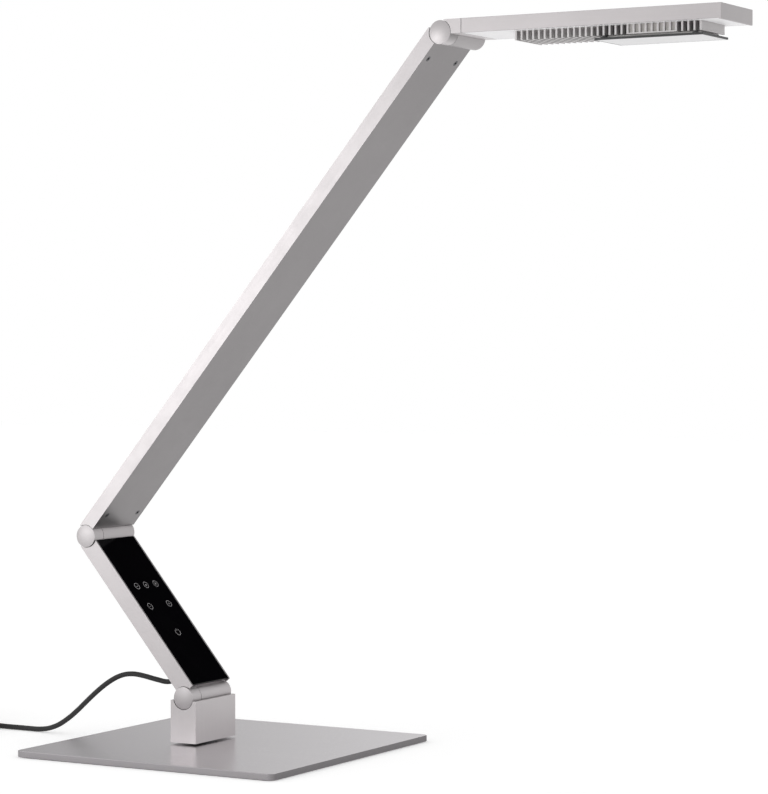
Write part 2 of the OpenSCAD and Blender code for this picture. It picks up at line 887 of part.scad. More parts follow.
module heat_sink() {
    color([0.66, 0.66, 0.67]) in_head() difference() {
        union() {
            box([sink_x0, -sink_w / 2, sink_z0], [sink_x1, sink_w / 2, flange_z + flange_t]);
            box([sink_x0 - flange_x, -flange_y, flange_z],
                [sink_x1 + flange_x, flange_y, flange_z + flange_t]);
            for (x = [sink_x0, sink_x1])
                box([x - stand_x / 2, -stand_y, flange_z], [x + stand_x / 2, stand_y, head_in_top]);
        }
        for (i = [0 : slot_count - 1])
            translate([sink_x0 + fin_rib + i * fin_pitch, 0, 0])
                box([0, -sink_w, slot_z0(i)], [fin_slot, sink_w, sink_z1]);
        box([module_x0, -module_y, sink_z0 + sink_floor], [module_x1, module_y, sink_z1]);
    }
}

module led_module() {
    color([0.90, 0.90, 0.88]) in_head()
        box([module_x0, -module_y, sink_z0 + sink_floor], [module_x1, module_y, sink_z1]);
}

module led_board() {
    color([0.92, 0.92, 0.92]) in_head()
        box([light_x0 + led_pcb_in, -led_pcb_y, sink_z0 - led_pcb_t],
            [light_x1 - led_pcb_in, led_pcb_y, sink_z0]);
}

module leds() {
    color([0.98, 0.92, 0.60]) in_head()
        for (i = [0 : led_count - 1], s = [-1, 1])
            translate([led_x0 + i * led_step, s * led_row_y, sink_z0 - led_pcb_t])
                box([0, -led_side / 2, -led_h], [led_side, led_side / 2, 0]);
}

module light_plate() {
    color([0.97, 0.97, 0.97]) in_head()
        box([light_x0 + frame_rim, frame_rim - light_w / 2, light_z0],
            [light_x1 - frame_rim, light_w / 2 - frame_rim, light_z1]);
}

module light_frame() {
    color([0.12, 0.12, 0.13]) in_head() {
        difference() {
            box([light_x0, -light_w / 2, light_z0], [light_x1, light_w / 2, light_z1]);
            box([light_x0 + frame_rim, frame_rim - light_w / 2, light_z0 - over],
                [light_x1 - frame_rim, light_w / 2 - frame_rim, light_z1 + over]);
        }
        for (x = frame_post_x, s = [-1, 1]) {
            translate([x, s * frame_post_y, light_z1]) cylinder(h = sink_z0 - light_z1, r = frame_post_r);
            box([x - frame_arm / 2, s > 0 ? frame_post_y : -light_w / 2, light_z1],
                [x + frame_arm / 2, s > 0 ? light_w / 2 : -frame_post_y, light_z1 + frame_arm_t]);
        }
    }
}

// cord

module cord_lead() {
    color([0.20, 0.20, 0.21]) tube(lead_path, [0, 1, 0], cord_r, 10);
}

// radius and height of the coil after t turns: four layers that spiral in and out,
// each climb half a turn long while the spiral reverses
function layer_of(t) = min(3, floor(t / (spiral_turns + climb_turns)));
function in_layer(t) = t - layer_of(t) * (spiral_turns + climb_turns);
function inward(t) = layer_of(t) % 2 == 0;
function coil_radius(t) =
    let (s = in_layer(t), d = s - spiral_turns, bump = coil_pitch * (d - 2 * d * d))
    s <= spiral_turns
        ? (inward(t) ? coil_out_r - coil_pitch * s : coil_in_r + coil_pitch * s)
        : (inward(t) ? coil_in_r - bump : coil_out_r + bump);
function coil_height(t) =
    coil_z + coil_pitch * (layer_of(t) + max(0, in_layer(t) - spiral_turns) / climb_turns);
function coil_point(t) =
    let (a = 90 + 360 * t, r = coil_radius(t))
    [coil_c[0] + r * cos(a), coil_c[1] + r * sin(a), coil_height(t)];
coil_rings = coil_turns * coil_steps;
coil_path = concat(
    [[coil_c[0] + cord_d, coil_y, coil_z]],
    [for (i = [0 : coil_rings]) coil_point(i / coil_steps)],
    [[coil_c[0] - cord_d, coil_y, coil_top_z]]
);
coil_least = min([
    for (i = [0 : coil_rings], j = [i + 12 : 1 : coil_rings]) norm(coil_path[i + 1] - coil_path[j + 1])
]) - cord_d;
echo(coil_self_gap = coil_least);

module cord_coil() {
    color([0.20, 0.20, 0.21]) tube(coil_path, [0, 0, 1], cord_r, 6);
}

module cord_tie() {
    r0 = coil_in_r - cord_r - tie_gap;
    r1 = coil_out_r + cord_r + tie_gap;
    z0 = tie_under + tie_t;
    z1 = coil_top_z + cord_r + tie_over;
    color([0.08, 0.08, 0.08]) translate([coil_c[0], coil_c[1], 0]) rotate([0, 0, tie_a]) difference() {
        box([r0 - tie_t, -tie_w / 2, tie_under], [r1 + tie_t, tie_w / 2, z1 + tie_t]);
        box([r0, -tie_w, z0], [r1, tie_w, z1]);
    }
}

module plug_relief() {
    color([0.10, 0.10, 0.10]) translate([plug_x1, coil_y, coil_top_z])
        rotate([0, 90, 0])
            cylinder(h = coil_c[0] - cord_d - plug_x1, r1 = plug_relief_r0, r2 = plug_relief_r1);
}

module plug_body() {
    color([0.12, 0.12, 0.12]) translate([plug_x1, coil_y, 0]) difference() {
        rotate([0, -90, 0]) linear_extrude(plug_len)
            translate([coil_top_z, 0]) round_square(2 * coil_top_z, plug_y, plug_corner_r);
        translate([plug_seam_x - plug_len, -plug_y, 0])
            box([0, 0, coil_top_z - plug_seam / 2],
                [plug_seam, plug_y / 2 + plug_seam_deep, coil_top_z + plug_seam / 2]);
    }
}

module plug_pins() {
    color([0.6, 0.6, 0.6])
        for (s = [-1, 1])
            translate([plug_x1 - plug_len, coil_y + s * plug_pin_y, coil_top_z])
                xcyl(-plug_pin_len, 0, plug_pin_r);
}

base_plate();
base_pad();
swivel_spindle();
swivel_glide();
swivel_spring();
swivel_nut();
post_block();
post_screws();
low_sleeve();
low_cap();
low_knuckle();
low_pin();
low_washer();
low_spring();
low_nut();
arm_shell();
control_glass();
touch_board();
driver_board();
cord_relief();
arm_screws();
elbow_knuckle();
elbow_pin();
elbow_washer();
elbow_spring();
elbow_nut();
upper_tube();
elbow_sleeve();
elbow_cap();
head_sleeve();
head_cap();
tube_screws();
arm_wire();
head_neck();
head_pin();
head_washer();
head_spring();
head_nut();
neck_screws();
head_housing();
underside_cover();
heat_sink();
led_module();
led_board();
leds();
light_plate();
light_frame();
cord_lead();
cord_coil();
cord_tie();
plug_relief();
plug_body();
plug_pins();
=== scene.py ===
"""LED table lamp: camera, cord, finishes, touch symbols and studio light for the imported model."""
from __future__ import annotations

import logging
import math
from abc import ABC, abstractmethod
from dataclasses import dataclass, field
from enum import Enum

import bmesh
import bpy
from bpy.types import Material, Mesh, Node, NodeSocket, NodeTree, Object
from mathutils import Matrix, Vector

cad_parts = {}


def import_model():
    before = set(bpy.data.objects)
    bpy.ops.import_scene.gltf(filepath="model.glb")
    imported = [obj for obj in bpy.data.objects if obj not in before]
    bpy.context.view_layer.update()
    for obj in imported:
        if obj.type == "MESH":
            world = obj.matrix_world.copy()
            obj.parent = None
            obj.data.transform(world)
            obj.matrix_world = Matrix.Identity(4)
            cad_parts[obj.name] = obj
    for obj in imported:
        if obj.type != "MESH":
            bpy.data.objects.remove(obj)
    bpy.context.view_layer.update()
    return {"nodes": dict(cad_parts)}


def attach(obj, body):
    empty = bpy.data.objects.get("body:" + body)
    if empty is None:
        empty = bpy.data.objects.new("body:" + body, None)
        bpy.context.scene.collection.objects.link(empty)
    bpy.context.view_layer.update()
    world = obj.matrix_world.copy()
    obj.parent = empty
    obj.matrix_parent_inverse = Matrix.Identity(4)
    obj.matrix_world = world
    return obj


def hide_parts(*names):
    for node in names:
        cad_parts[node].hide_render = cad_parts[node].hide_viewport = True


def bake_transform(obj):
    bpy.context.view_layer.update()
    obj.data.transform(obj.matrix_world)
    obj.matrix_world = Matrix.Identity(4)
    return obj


LOG = logging.getLogger("lamp")
MM = 0.001
Point = tuple[float, float]
Triple = tuple[float, float, float]
Colour = Triple
Nodes = dict[str, Object]


# Small helpers for places and meshes

def millimetres(x: float, y: float, z: float) -> Vector:
    """Gives a dataclass field that starts as this point."""
    return field(default_factory=lambda: Vector((x, y, z)) * MM)


def link_object(name: str, mesh: Mesh) -> Object:
    """Makes an object of a mesh and puts it in the scene.

    Args:
        name: Name of the new piece.
        mesh: Its finished mesh.

    Returns:
        The new object.
    """
    piece = bpy.data.objects.new(name, mesh)
    bpy.context.scene.collection.objects.link(piece)
    return piece


def smooth_line(points: list[Vector], step: float) -> list[Vector]:
    """Draws a smooth curve through points and spaces it evenly.

    Args:
        points: Points that the curve passes through.
        step: Largest distance between two points of the result.

    Returns:
        Points on the curve, the ends included.
    """
    line = [points[0].copy()]
    last = len(points) - 1
    for i in range(last):
        before = points[max(i - 1, 0)]
        start = points[i]
        end = points[i + 1]
        after = points[min(i + 2, last)]
        count = max(1, math.ceil((end - start).length / step))
        for k in range(1, count + 1):
            t = k / count
            line.append(0.5 * (
                2 * start
                + (end - before) * t
                + (2 * before - 5 * start + 4 * end - after) * t ** 2
                + (3 * start - before - 3 * end + after) * t ** 3
            ))
    return line


def tube_mesh(name: str, line: list[Vector], radius: float, sides: int) -> Mesh:
    """Sweeps a round section along a line, without twist and with closed ends.

    Args:
        name: Name of the mesh.
        line: Points of the centre line.
        radius: Radius of the section.
        sides: Number of points round the section.

    Returns:
        The tube, shaded smooth.
    """
    work = bmesh.new()
    rings = []
    side = Vector((0, 1, 0))
    last = len(line) - 1
    for i, centre in enumerate(line):
        ahead = (line[min(i + 1, last)] - line[max(i - 1, 0)]).normalized()
        side = (side - ahead * side.dot(ahead)).normalized()
        up = ahead.cross(side)
        turns = [2 * math.pi * k / sides for k in range(sides)]
        rings.append([
            work.verts.new(centre + radius * (math.cos(a) * side + math.sin(a) * up)) for a in turns
        ])
    for first, second in zip(rings, rings[1:]):
        for k in range(sides):
            n = (k + 1) % sides
            work.faces.new((first[k], first[n], second[n], second[k]))
    work.faces.new(list(reversed(rings[0])))
    work.faces.new(rings[-1])
    bmesh.ops.recalc_face_normals(work, faces=work.faces)
    for face in work.faces:
        face.smooth = len(face.verts) == 4
    mesh = bpy.data.meshes.new(name)
    work.to_mesh(mesh)
    work.free()
    return mesh


# Shader effects that several materials share

class NodeSheet:
    """Adds nodes to one node tree and joins them."""

    def __init__(self, tree: NodeTree) -> None:
        """Empties the tree of a material, a world or a node group."""
        self.tree = tree
        tree.nodes.clear()

    def add(self, kind: str, inputs: dict | None = None, **settings) -> Node:
        """Adds one node.

        Args:
            kind: Type of the node, such as ShaderNodeMath.
            inputs: Values or sockets for its inputs, by name or number.
            settings: Attributes of the node.

        Returns:
            The new node.
        """
        node = self.tree.nodes.new(kind)
        for name, value in settings.items():
            setattr(node, name, value)
        for name, value in (inputs or {}).items():
            self.feed(node.inputs[name], value)
        return node

    def feed(self, socket: NodeSocket, value: object) -> None:
        """Links a socket to another one, or sets its own value.

        Args:
            socket: Input of a node.
            value: Output of another node, or a plain value.
        """
        if isinstance(value, NodeSocket):
            self.tree.links.new(value, socket)
        else:
            socket.default_value = value

    def math(self, operation: str, *values: object, clamp: bool = False) -> NodeSocket:
        """Adds a Math node and returns its output."""
        node = self.add("ShaderNodeMath", dict(enumerate(values)), operation=operation, use_clamp=clamp)
        return node.outputs[0]

    def weigh(self, *terms: tuple[object, float]) -> NodeSocket:
        """Adds two values up, each given with its weight."""
        return self.math("ADD", *(self.math("MULTIPLY", value, weight) for value, weight in terms))

    def vector(self, operation: str, *values: object) -> Node:
        """Adds a Vector Math node and returns it."""
        return self.add("ShaderNodeVectorMath", dict(enumerate(values)), operation=operation)

    def ramp(self, value: object, low: float, high: float) -> NodeSocket:
        """Maps a value from low to high onto 0 to 1, held at the ends."""
        node = self.add("ShaderNodeMapRange", {"Value": value, "From Min": low, "From Max": high})
        return node.outputs["Result"]

    def mix(self, factor: object, first: object, second: object) -> NodeSocket:
        """Mixes two colours by a factor, through the sockets that a Mix node has for colours."""
        node = self.add("ShaderNodeMix", {0: factor, 6: first, 7: second}, data_type="RGBA")
        return node.outputs[2]

    def spot(self) -> NodeSocket:
        """Gives the place on a piece, in the piece's own axes."""
        return self.add("ShaderNodeTexCoord").outputs["Object"]

    def noise(
        self, place: NodeSocket, scale: object, detail: float, roughness: float = 0.5
    ) -> NodeSocket:
        """Adds a noise texture and returns its value."""
        inputs = {"Vector": place, "Scale": scale, "Detail": detail, "Roughness": roughness}
        return self.add("ShaderNodeTexNoise", inputs).outputs["Fac"]


class Effect(Enum):
    """Shader effects that materials share."""

    GRAIN = "metal_grain"
    TONE = "tone_drift"
    # Edge wear together with painted edge light, as a highlight or a shadow line.
    EDGE = "edge_wear"
    SKIN = "moulded_skin"
    DUST = "settled_dust"
    # Painted light and shade, by the way a face looks.
    PAINTED_FACE_LIGHT = "face_direction"


class EffectGroups:
    """Builds each shared effect once, as a node group."""

    def __init__(self) -> None:
        """Starts with no group."""
        self.made: dict[Effect, NodeTree] = {}

    def get(self, effect: Effect) -> NodeTree:
        """Gives an effect's group, and builds them all at the first call.

        Args:
            effect: Which effect.

        Returns:
            Its node group.
        """
        if not self.made:
            for build in (self._grain, self._tone, self._edge, self._skin, self._dust, self._painted_light_by_face):
                build()
        return self.made[effect]

    def _begin(
        self, effect: Effect, inputs: dict[str, float | Triple], outputs: list[str]
    ) -> tuple[NodeSheet, Node, Node]:
        """Starts a group with its sockets.

        Args:
            effect: The effect that the group gives.
            inputs: Starting value of each input, a number or a vector.
            outputs: Names of the outputs, all plain values.

        Returns:
            The sheet of the group, its input node and its output node.
        """
        tree = bpy.data.node_groups.new(effect.value, "ShaderNodeTree")
        for title, value in inputs.items():
            kind = "NodeSocketVector" if isinstance(value, tuple) else "NodeSocketFloat"
            socket = tree.interface.new_socket(title, in_out="INPUT", socket_type=kind)
            socket.default_value = value
        for title in outputs:
            tree.interface.new_socket(title, in_out="OUTPUT", socket_type="NodeSocketFloat")
        self.made[effect] = tree
        sheet = NodeSheet(tree)
        return sheet, sheet.add("NodeGroupInput"), sheet.add("NodeGroupOutput")

    def _grain(self) -> None:
        """Builds the long fine lines of brushed or drawn metal."""
        inputs = {"Turn": (0.0, 0.0, 0.0), "Cell": (0.0003, 0.0003, 0.02)}
        sheet, start, end = self._begin(Effect.GRAIN, inputs, ["Lines", "Height"])
        mapped = sheet.add("ShaderNodeMapping", {
            "Vector": sheet.spot(), "Rotation": start.outputs["Turn"], "Scale": start.outputs["Cell"],
        }, vector_type="TEXTURE")
        fine = sheet.noise(mapped.outputs["Vector"], scale=1.0, detail=3.0, roughness=0.6)
        wide = sheet.noise(mapped.outputs["Vector"], scale=0.13, detail=2.0)
        lines = sheet.weigh((fine, 0.65), (wide, 0.35))
        sheet.feed(end.inputs["Lines"], sheet.ramp(lines, low=0.36, high=0.64))
        sheet.feed(end.inputs["Height"], fine)

    def _tone(self) -> None:
        """Builds a slow change of tone over a surface, as from handling."""
        sheet, start, end = self._begin(Effect.TONE, {"Spread": 12.0}, ["Tone", "Cloud"])
        spread = start.outputs["Spread"]
        closer = sheet.math("MULTIPLY", spread, 6.0)
        slow = sheet.noise(sheet.spot(), scale=spread, detail=2.0, roughness=0.55)
        cloud = sheet.noise(sheet.spot(), scale=closer, detail=5.0, roughness=0.65)
        sheet.feed(end.inputs["Tone"], sheet.ramp(slow, low=0.3, high=0.7))
        sheet.feed(end.inputs["Cloud"], sheet.ramp(cloud, low=0.35, high=0.75))

    def _edge(self) -> None:
        """Builds a mask of the sharp edges, broken up where hands rub them; it carries both wear and
        painted edge light.
        """
        sheet, start, end = self._begin(Effect.EDGE, {"Reach": 0.0006, "Break": 300.0}, ["Mask"])
        bent = sheet.add("ShaderNodeBevel", {"Radius": start.outputs["Reach"]}, samples=4)
        flat = sheet.add("ShaderNodeNewGeometry")
        match = sheet.vector("DOT_PRODUCT", bent.outputs["Normal"], flat.outputs["Normal"])
        edge = sheet.ramp(sheet.math("SUBTRACT", 1.0, match.outputs["Value"]), low=0.02, high=0.22)
        rub = sheet.noise(sheet.spot(), scale=start.outputs["Break"], detail=3.0)
        edge_worn_and_lit = sheet.ramp(rub, low=0.3, high=0.6)
        sheet.feed(end.inputs["Mask"], sheet.math("MULTIPLY", edge, edge_worn_and_lit, clamp=True))

    def _skin(self) -> None:
        """Builds the fine pebbled skin of moulded plastic and rubber."""
        sheet, start, end = self._begin(Effect.SKIN, {"Pebble": 0.0006}, ["Spots", "Height"])
        density = sheet.math("DIVIDE", 1.0, start.outputs["Pebble"])
        wider = sheet.math("MULTIPLY", density, 0.35)
        cells = sheet.add("ShaderNodeTexVoronoi", {"Vector": sheet.spot(), "Scale": density})
        haze = sheet.noise(sheet.spot(), scale=wider, detail=4.0, roughness=0.6)
        sheet.feed(end.inputs["Spots"], sheet.ramp(haze, low=0.3, high=0.7))
        sheet.feed(end.inputs["Height"], cells.outputs["Distance"])

    def _dust(self) -> None:
        """Builds thin dust and fine specks on faces that look up."""
        sheet, start, end = self._begin(Effect.DUST, {"Specks": 900.0}, ["Mask"])
        shape = sheet.add("ShaderNodeNewGeometry")
        split = sheet.add("ShaderNodeSeparateXYZ", {"Vector": shape.outputs["Normal"]})
        up = sheet.ramp(split.outputs["Z"], low=0.4, high=1.0)
        speck = sheet.noise(sheet.spot(), scale=start.outputs["Specks"], detail=2.0)
        veil = sheet.noise(sheet.spot(), scale=14.0, detail=4.0)
        spots = sheet.ramp(speck, low=0.62, high=0.74)
        thin = sheet.math("MULTIPLY", sheet.ramp(veil, low=0.4, high=0.75), 0.3)
        settled = sheet.math("ADD", spots, thin)
        sheet.feed(end.inputs["Mask"], sheet.math("MULTIPLY", up, settled, clamp=True))

    def _painted_light_by_face(self) -> None:
        """Builds painted light and shade: a factor for a face's colour, from those of faces that look up
        and down X, Y and Z.
        """
        inputs = {"Up": (1.0, 1.0, 1.0), "Down": (1.0, 1.0, 1.0)}
        sheet, start, end = self._begin(Effect.PAINTED_FACE_LIGHT, inputs, ["Factor"])
        normal = sheet.add("ShaderNodeTexCoord").outputs["Normal"]
        parts = []
        for title, operation in (("Up", "MAXIMUM"), ("Down", "MINIMUM")):
            side = sheet.vector(operation, normal, (0, 0, 0)).outputs["Vector"]
            square = sheet.vector("MULTIPLY", side, side).outputs["Vector"]
            parts.append(sheet.vector("DOT_PRODUCT", square, start.outputs[title]).outputs["Value"])
        sheet.feed(end.inputs["Factor"], sheet.math("ADD", *parts))


EFFECTS = EffectGroups()


# Finishes

class Along(Enum):
    """Direction of the grain lines, as the turn of Z onto them about X, Y and Z in degrees."""

    X = (0, 90, 0)
    Y = (-90, 0, 0)
    Z = (0, 0, 0)
    LOWER_ARM = (0, -40, 0)
    UPPER_ARM = (0, 40, 0)


def start_material(name: str) -> tuple[Material, NodeSheet, Node]:
    """Makes a material with a Principled shader.

    Args:
        name: Name of the finish.

    Returns:
        The material, its sheet and its shader node.
    """
    material = bpy.data.materials.new(name)
    material.use_nodes = True
    sheet = NodeSheet(material.node_tree)
    shader = sheet.add("ShaderNodeBsdfPrincipled")
    end = sheet.add("ShaderNodeOutputMaterial")
    sheet.feed(end.inputs["Surface"], shader.outputs["BSDF"])
    return material, sheet, shader


def place_effect(sheet: NodeSheet, effect: Effect, inputs: dict) -> Node:
    """Places a shared effect in a material, with that material's values."""
    return sheet.add("ShaderNodeGroup", inputs, node_tree=EFFECTS.get(effect))


def rgba(colour: Colour) -> tuple[float, float, float, float]:
    """Adds a full alpha to a colour."""
    return (*colour, 1.0)


def grey(level: float) -> tuple[float, float, float, float]:
    """Gives a grey with a full alpha."""
    return (level, level, level, 1.0)


@dataclass(frozen=True)
class MetalFinish:
    """Metal with grain lines, slow tone drift, rubbed edges with a painted edge highlight, and thin dust.

    The painted light factors darken or lighten the faces that look up or down X, Y and Z, as painted shade
    and painted light.
    """

    name: str
    light: Colour
    dark: Colour
    roughness: float
    along: Along = Along.Z
    line: float = 0.0004
    length: float = 0.03
    contrast: float = 0.5
    bump: float = 0.05
    bump_depth: float = 0.0002
    metallic: float = 1.0
    # Edge colour: rubbed wear and a painted edge highlight.
    edge: Colour = (0.8, 0.8, 0.8)
    edge_mix: float = 0.5
    edge_reach: float = 0.0005
    dust: float = 0.12
    dust_colour: Colour = (0.6, 0.59, 0.57)
    spread: float = 9.0
    uneven: float = 0.05
    streaks: float = 1.4
    painted_light_up: Triple = (1.0, 1.0, 1.0)
    painted_light_down: Triple = (1.0, 1.0, 1.0)

    def material(self) -> Material:
        """Builds the material.

        Returns:
            The new material.
        """
        material, sheet, shader = start_material(self.name)
        grain = place_effect(sheet, Effect.GRAIN, {
            "Turn": tuple(math.radians(a) for a in self.along.value),
            "Cell": (self.line, self.line, self.length),
        })
        tone = place_effect(sheet, Effect.TONE, {"Spread": self.spread})
        edge = place_effect(sheet, Effect.EDGE, {"Reach": self.edge_reach})
        dust = place_effect(sheet, Effect.DUST, {})
        # Painted light and shade: faces darker or lighter by the way they look, for how light falls on
        # them.
        painted_light_node = place_effect(sheet, Effect.PAINTED_FACE_LIGHT, {"Up": self.painted_light_up, "Down": self.painted_light_down})
        lines = grain.outputs["Lines"]
        shade = sheet.weigh((lines, self.contrast), (tone.outputs["Tone"], 1 - self.contrast))
        body = sheet.mix(shade, rgba(self.dark), rgba(self.light))
        body_with_painted_light = sheet.vector("SCALE", body)
        sheet.feed(body_with_painted_light.inputs["Scale"], painted_light_node.outputs["Factor"])
        # Edge mark: rubbed wear and a painted edge highlight, or a painted shadow line where the edge
        # colour is dark.
        rubbed_and_lit_edge = sheet.math("MULTIPLY", edge.outputs["Mask"], self.edge_mix)
        edge_worn_and_lit = sheet.mix(rubbed_and_lit_edge, body_with_painted_light.outputs["Vector"], rgba(self.edge))
        speck = sheet.math("MULTIPLY", dust.outputs["Mask"], self.dust)
        sheet.feed(shader.inputs["Base Color"], sheet.mix(speck, edge_worn_and_lit, rgba(self.dust_colour)))
        marks = sheet.weigh((lines, self.streaks * self.uneven), (tone.outputs["Cloud"], self.uneven))
        rough = sheet.math("ADD", marks, self.roughness - self.uneven)
        sheet.feed(shader.inputs["Roughness"], sheet.math("ADD", rough, speck))
        shader.inputs["Metallic"].default_value = self.metallic
        bump = sheet.add("ShaderNodeBump", {
            "Strength": self.bump, "Distance": self.bump_depth, "Height": grain.outputs["Height"],
        })
        sheet.feed(shader.inputs["Normal"], bump.outputs["Normal"])
        return material


@dataclass(frozen=True)
class MouldedFinish:
    """Plastic, rubber or print with a fine skin, tone drift, edges mixed toward an edge colour, and a weak
    glow if lit, which on the LED module is painted light.
    """

    name: str
    light: Colour
    dark: Colour
    roughness: float
    pebble: float = 0.0006
    bump: float = 0.12
    bump_depth: float = 0.0001
    edge: Colour = (0.2, 0.2, 0.2)
    edge_mix: float = 0.25
    edge_reach: float = 0.0004
    dust: float = 0.15
    dust_colour: Colour = (0.55, 0.54, 0.52)
    spread: float = 20.0
    spot_share: float = 0.4
    spot_rough: float = 0.08
    cloud_rough: float = 0.06
    glow: float = 0.0
    gloss: float = 0.5

    def material(self) -> Material:
        """Builds the material.

        Returns:
            The new material.
        """
        material, sheet, shader = start_material(self.name)
        skin = place_effect(sheet, Effect.SKIN, {"Pebble": self.pebble})
        tone = place_effect(sheet, Effect.TONE, {"Spread": self.spread})
        edge = place_effect(sheet, Effect.EDGE, {"Reach": self.edge_reach})
        dust = place_effect(sheet, Effect.DUST, {})
        spots = skin.outputs["Spots"]
        shade = sheet.weigh((spots, self.spot_share), (tone.outputs["Tone"], 1 - self.spot_share))
        body = sheet.mix(shade, rgba(self.dark), rgba(self.light))
        # Edges mixed toward the edge colour, by the same mask of wear and painted edge light.
        rubbed_and_lit_edge = sheet.math("MULTIPLY", edge.outputs["Mask"], self.edge_mix)
        edge_worn_and_lit = sheet.mix(rubbed_and_lit_edge, body, rgba(self.edge))
        speck = sheet.math("MULTIPLY", dust.outputs["Mask"], self.dust)
        colour = sheet.mix(speck, edge_worn_and_lit, rgba(self.dust_colour))
        sheet.feed(shader.inputs["Base Color"], colour)
        marks = sheet.weigh((spots, self.spot_rough), (tone.outputs["Cloud"], self.cloud_rough))
        middle = (self.spot_rough + self.cloud_rough) / 2
        sheet.feed(shader.inputs["Roughness"], sheet.math("ADD", marks, self.roughness - middle))
        bump = sheet.add("ShaderNodeBump", {
            "Strength": self.bump, "Distance": self.bump_depth, "Height": skin.outputs["Height"],
        })
        sheet.feed(shader.inputs["Normal"], bump.outputs["Normal"])
        shader.inputs["Specular IOR Level"].default_value = self.gloss
        # On the LED module this glow is painted light.
        if self.glow > 0:
            sheet.feed(shader.inputs["Emission Color"], colour)
            shader.inputs["Emission Strength"].default_value = self.glow
        return material


@dataclass(frozen=True)
class GlassFinish:
    """Black back-printed glass with faint wipe marks and dust."""

    name: str
    body: Colour
    haze: Colour
    roughness: float
    ior: float
    gloss: float
    spread: float = 16.0
    wipe_turn: Triple = (0.3, math.radians(-40), 0.0)
    wipe_cell: Triple = (0.004, 0.002, 0.04)
    wipe: float = 0.5
    specks: float = 1400.0
    dust: float = 0.4
    smear: float = 0.12

    def material(self) -> Material:
        """Builds the material.

        Returns:
            The new material.
        """
        material, sheet, shader = start_material(self.name)
        tone = place_effect(sheet, Effect.TONE, {"Spread": self.spread})
        marks = place_effect(sheet, Effect.GRAIN, {"Turn": self.wipe_turn, "Cell": self.wipe_cell})
        dust = place_effect(sheet, Effect.DUST, {"Specks": self.specks})
        wiped = sheet.math("MULTIPLY", marks.outputs["Lines"], tone.outputs["Tone"])
        film = sheet.math("MULTIPLY", wiped, self.wipe)
        film = sheet.math("ADD", film, sheet.math("MULTIPLY", dust.outputs["Mask"], self.dust), clamp=True)
        sheet.feed(shader.inputs["Base Color"], sheet.mix(film, rgba(self.body), rgba(self.haze)))
        smear = sheet.math("MULTIPLY", film, self.smear)
        sheet.feed(shader.inputs["Roughness"], sheet.math("ADD", smear, self.roughness))
        shader.inputs["IOR"].default_value = self.ior
        shader.inputs["Specular IOR Level"].default_value = self.gloss
        return material


Finish = MetalFinish | MouldedFinish | GlassFinish
TURNED = {"along": Along.Y, "line": 0.0006, "length": 0.004, "contrast": 0.4}


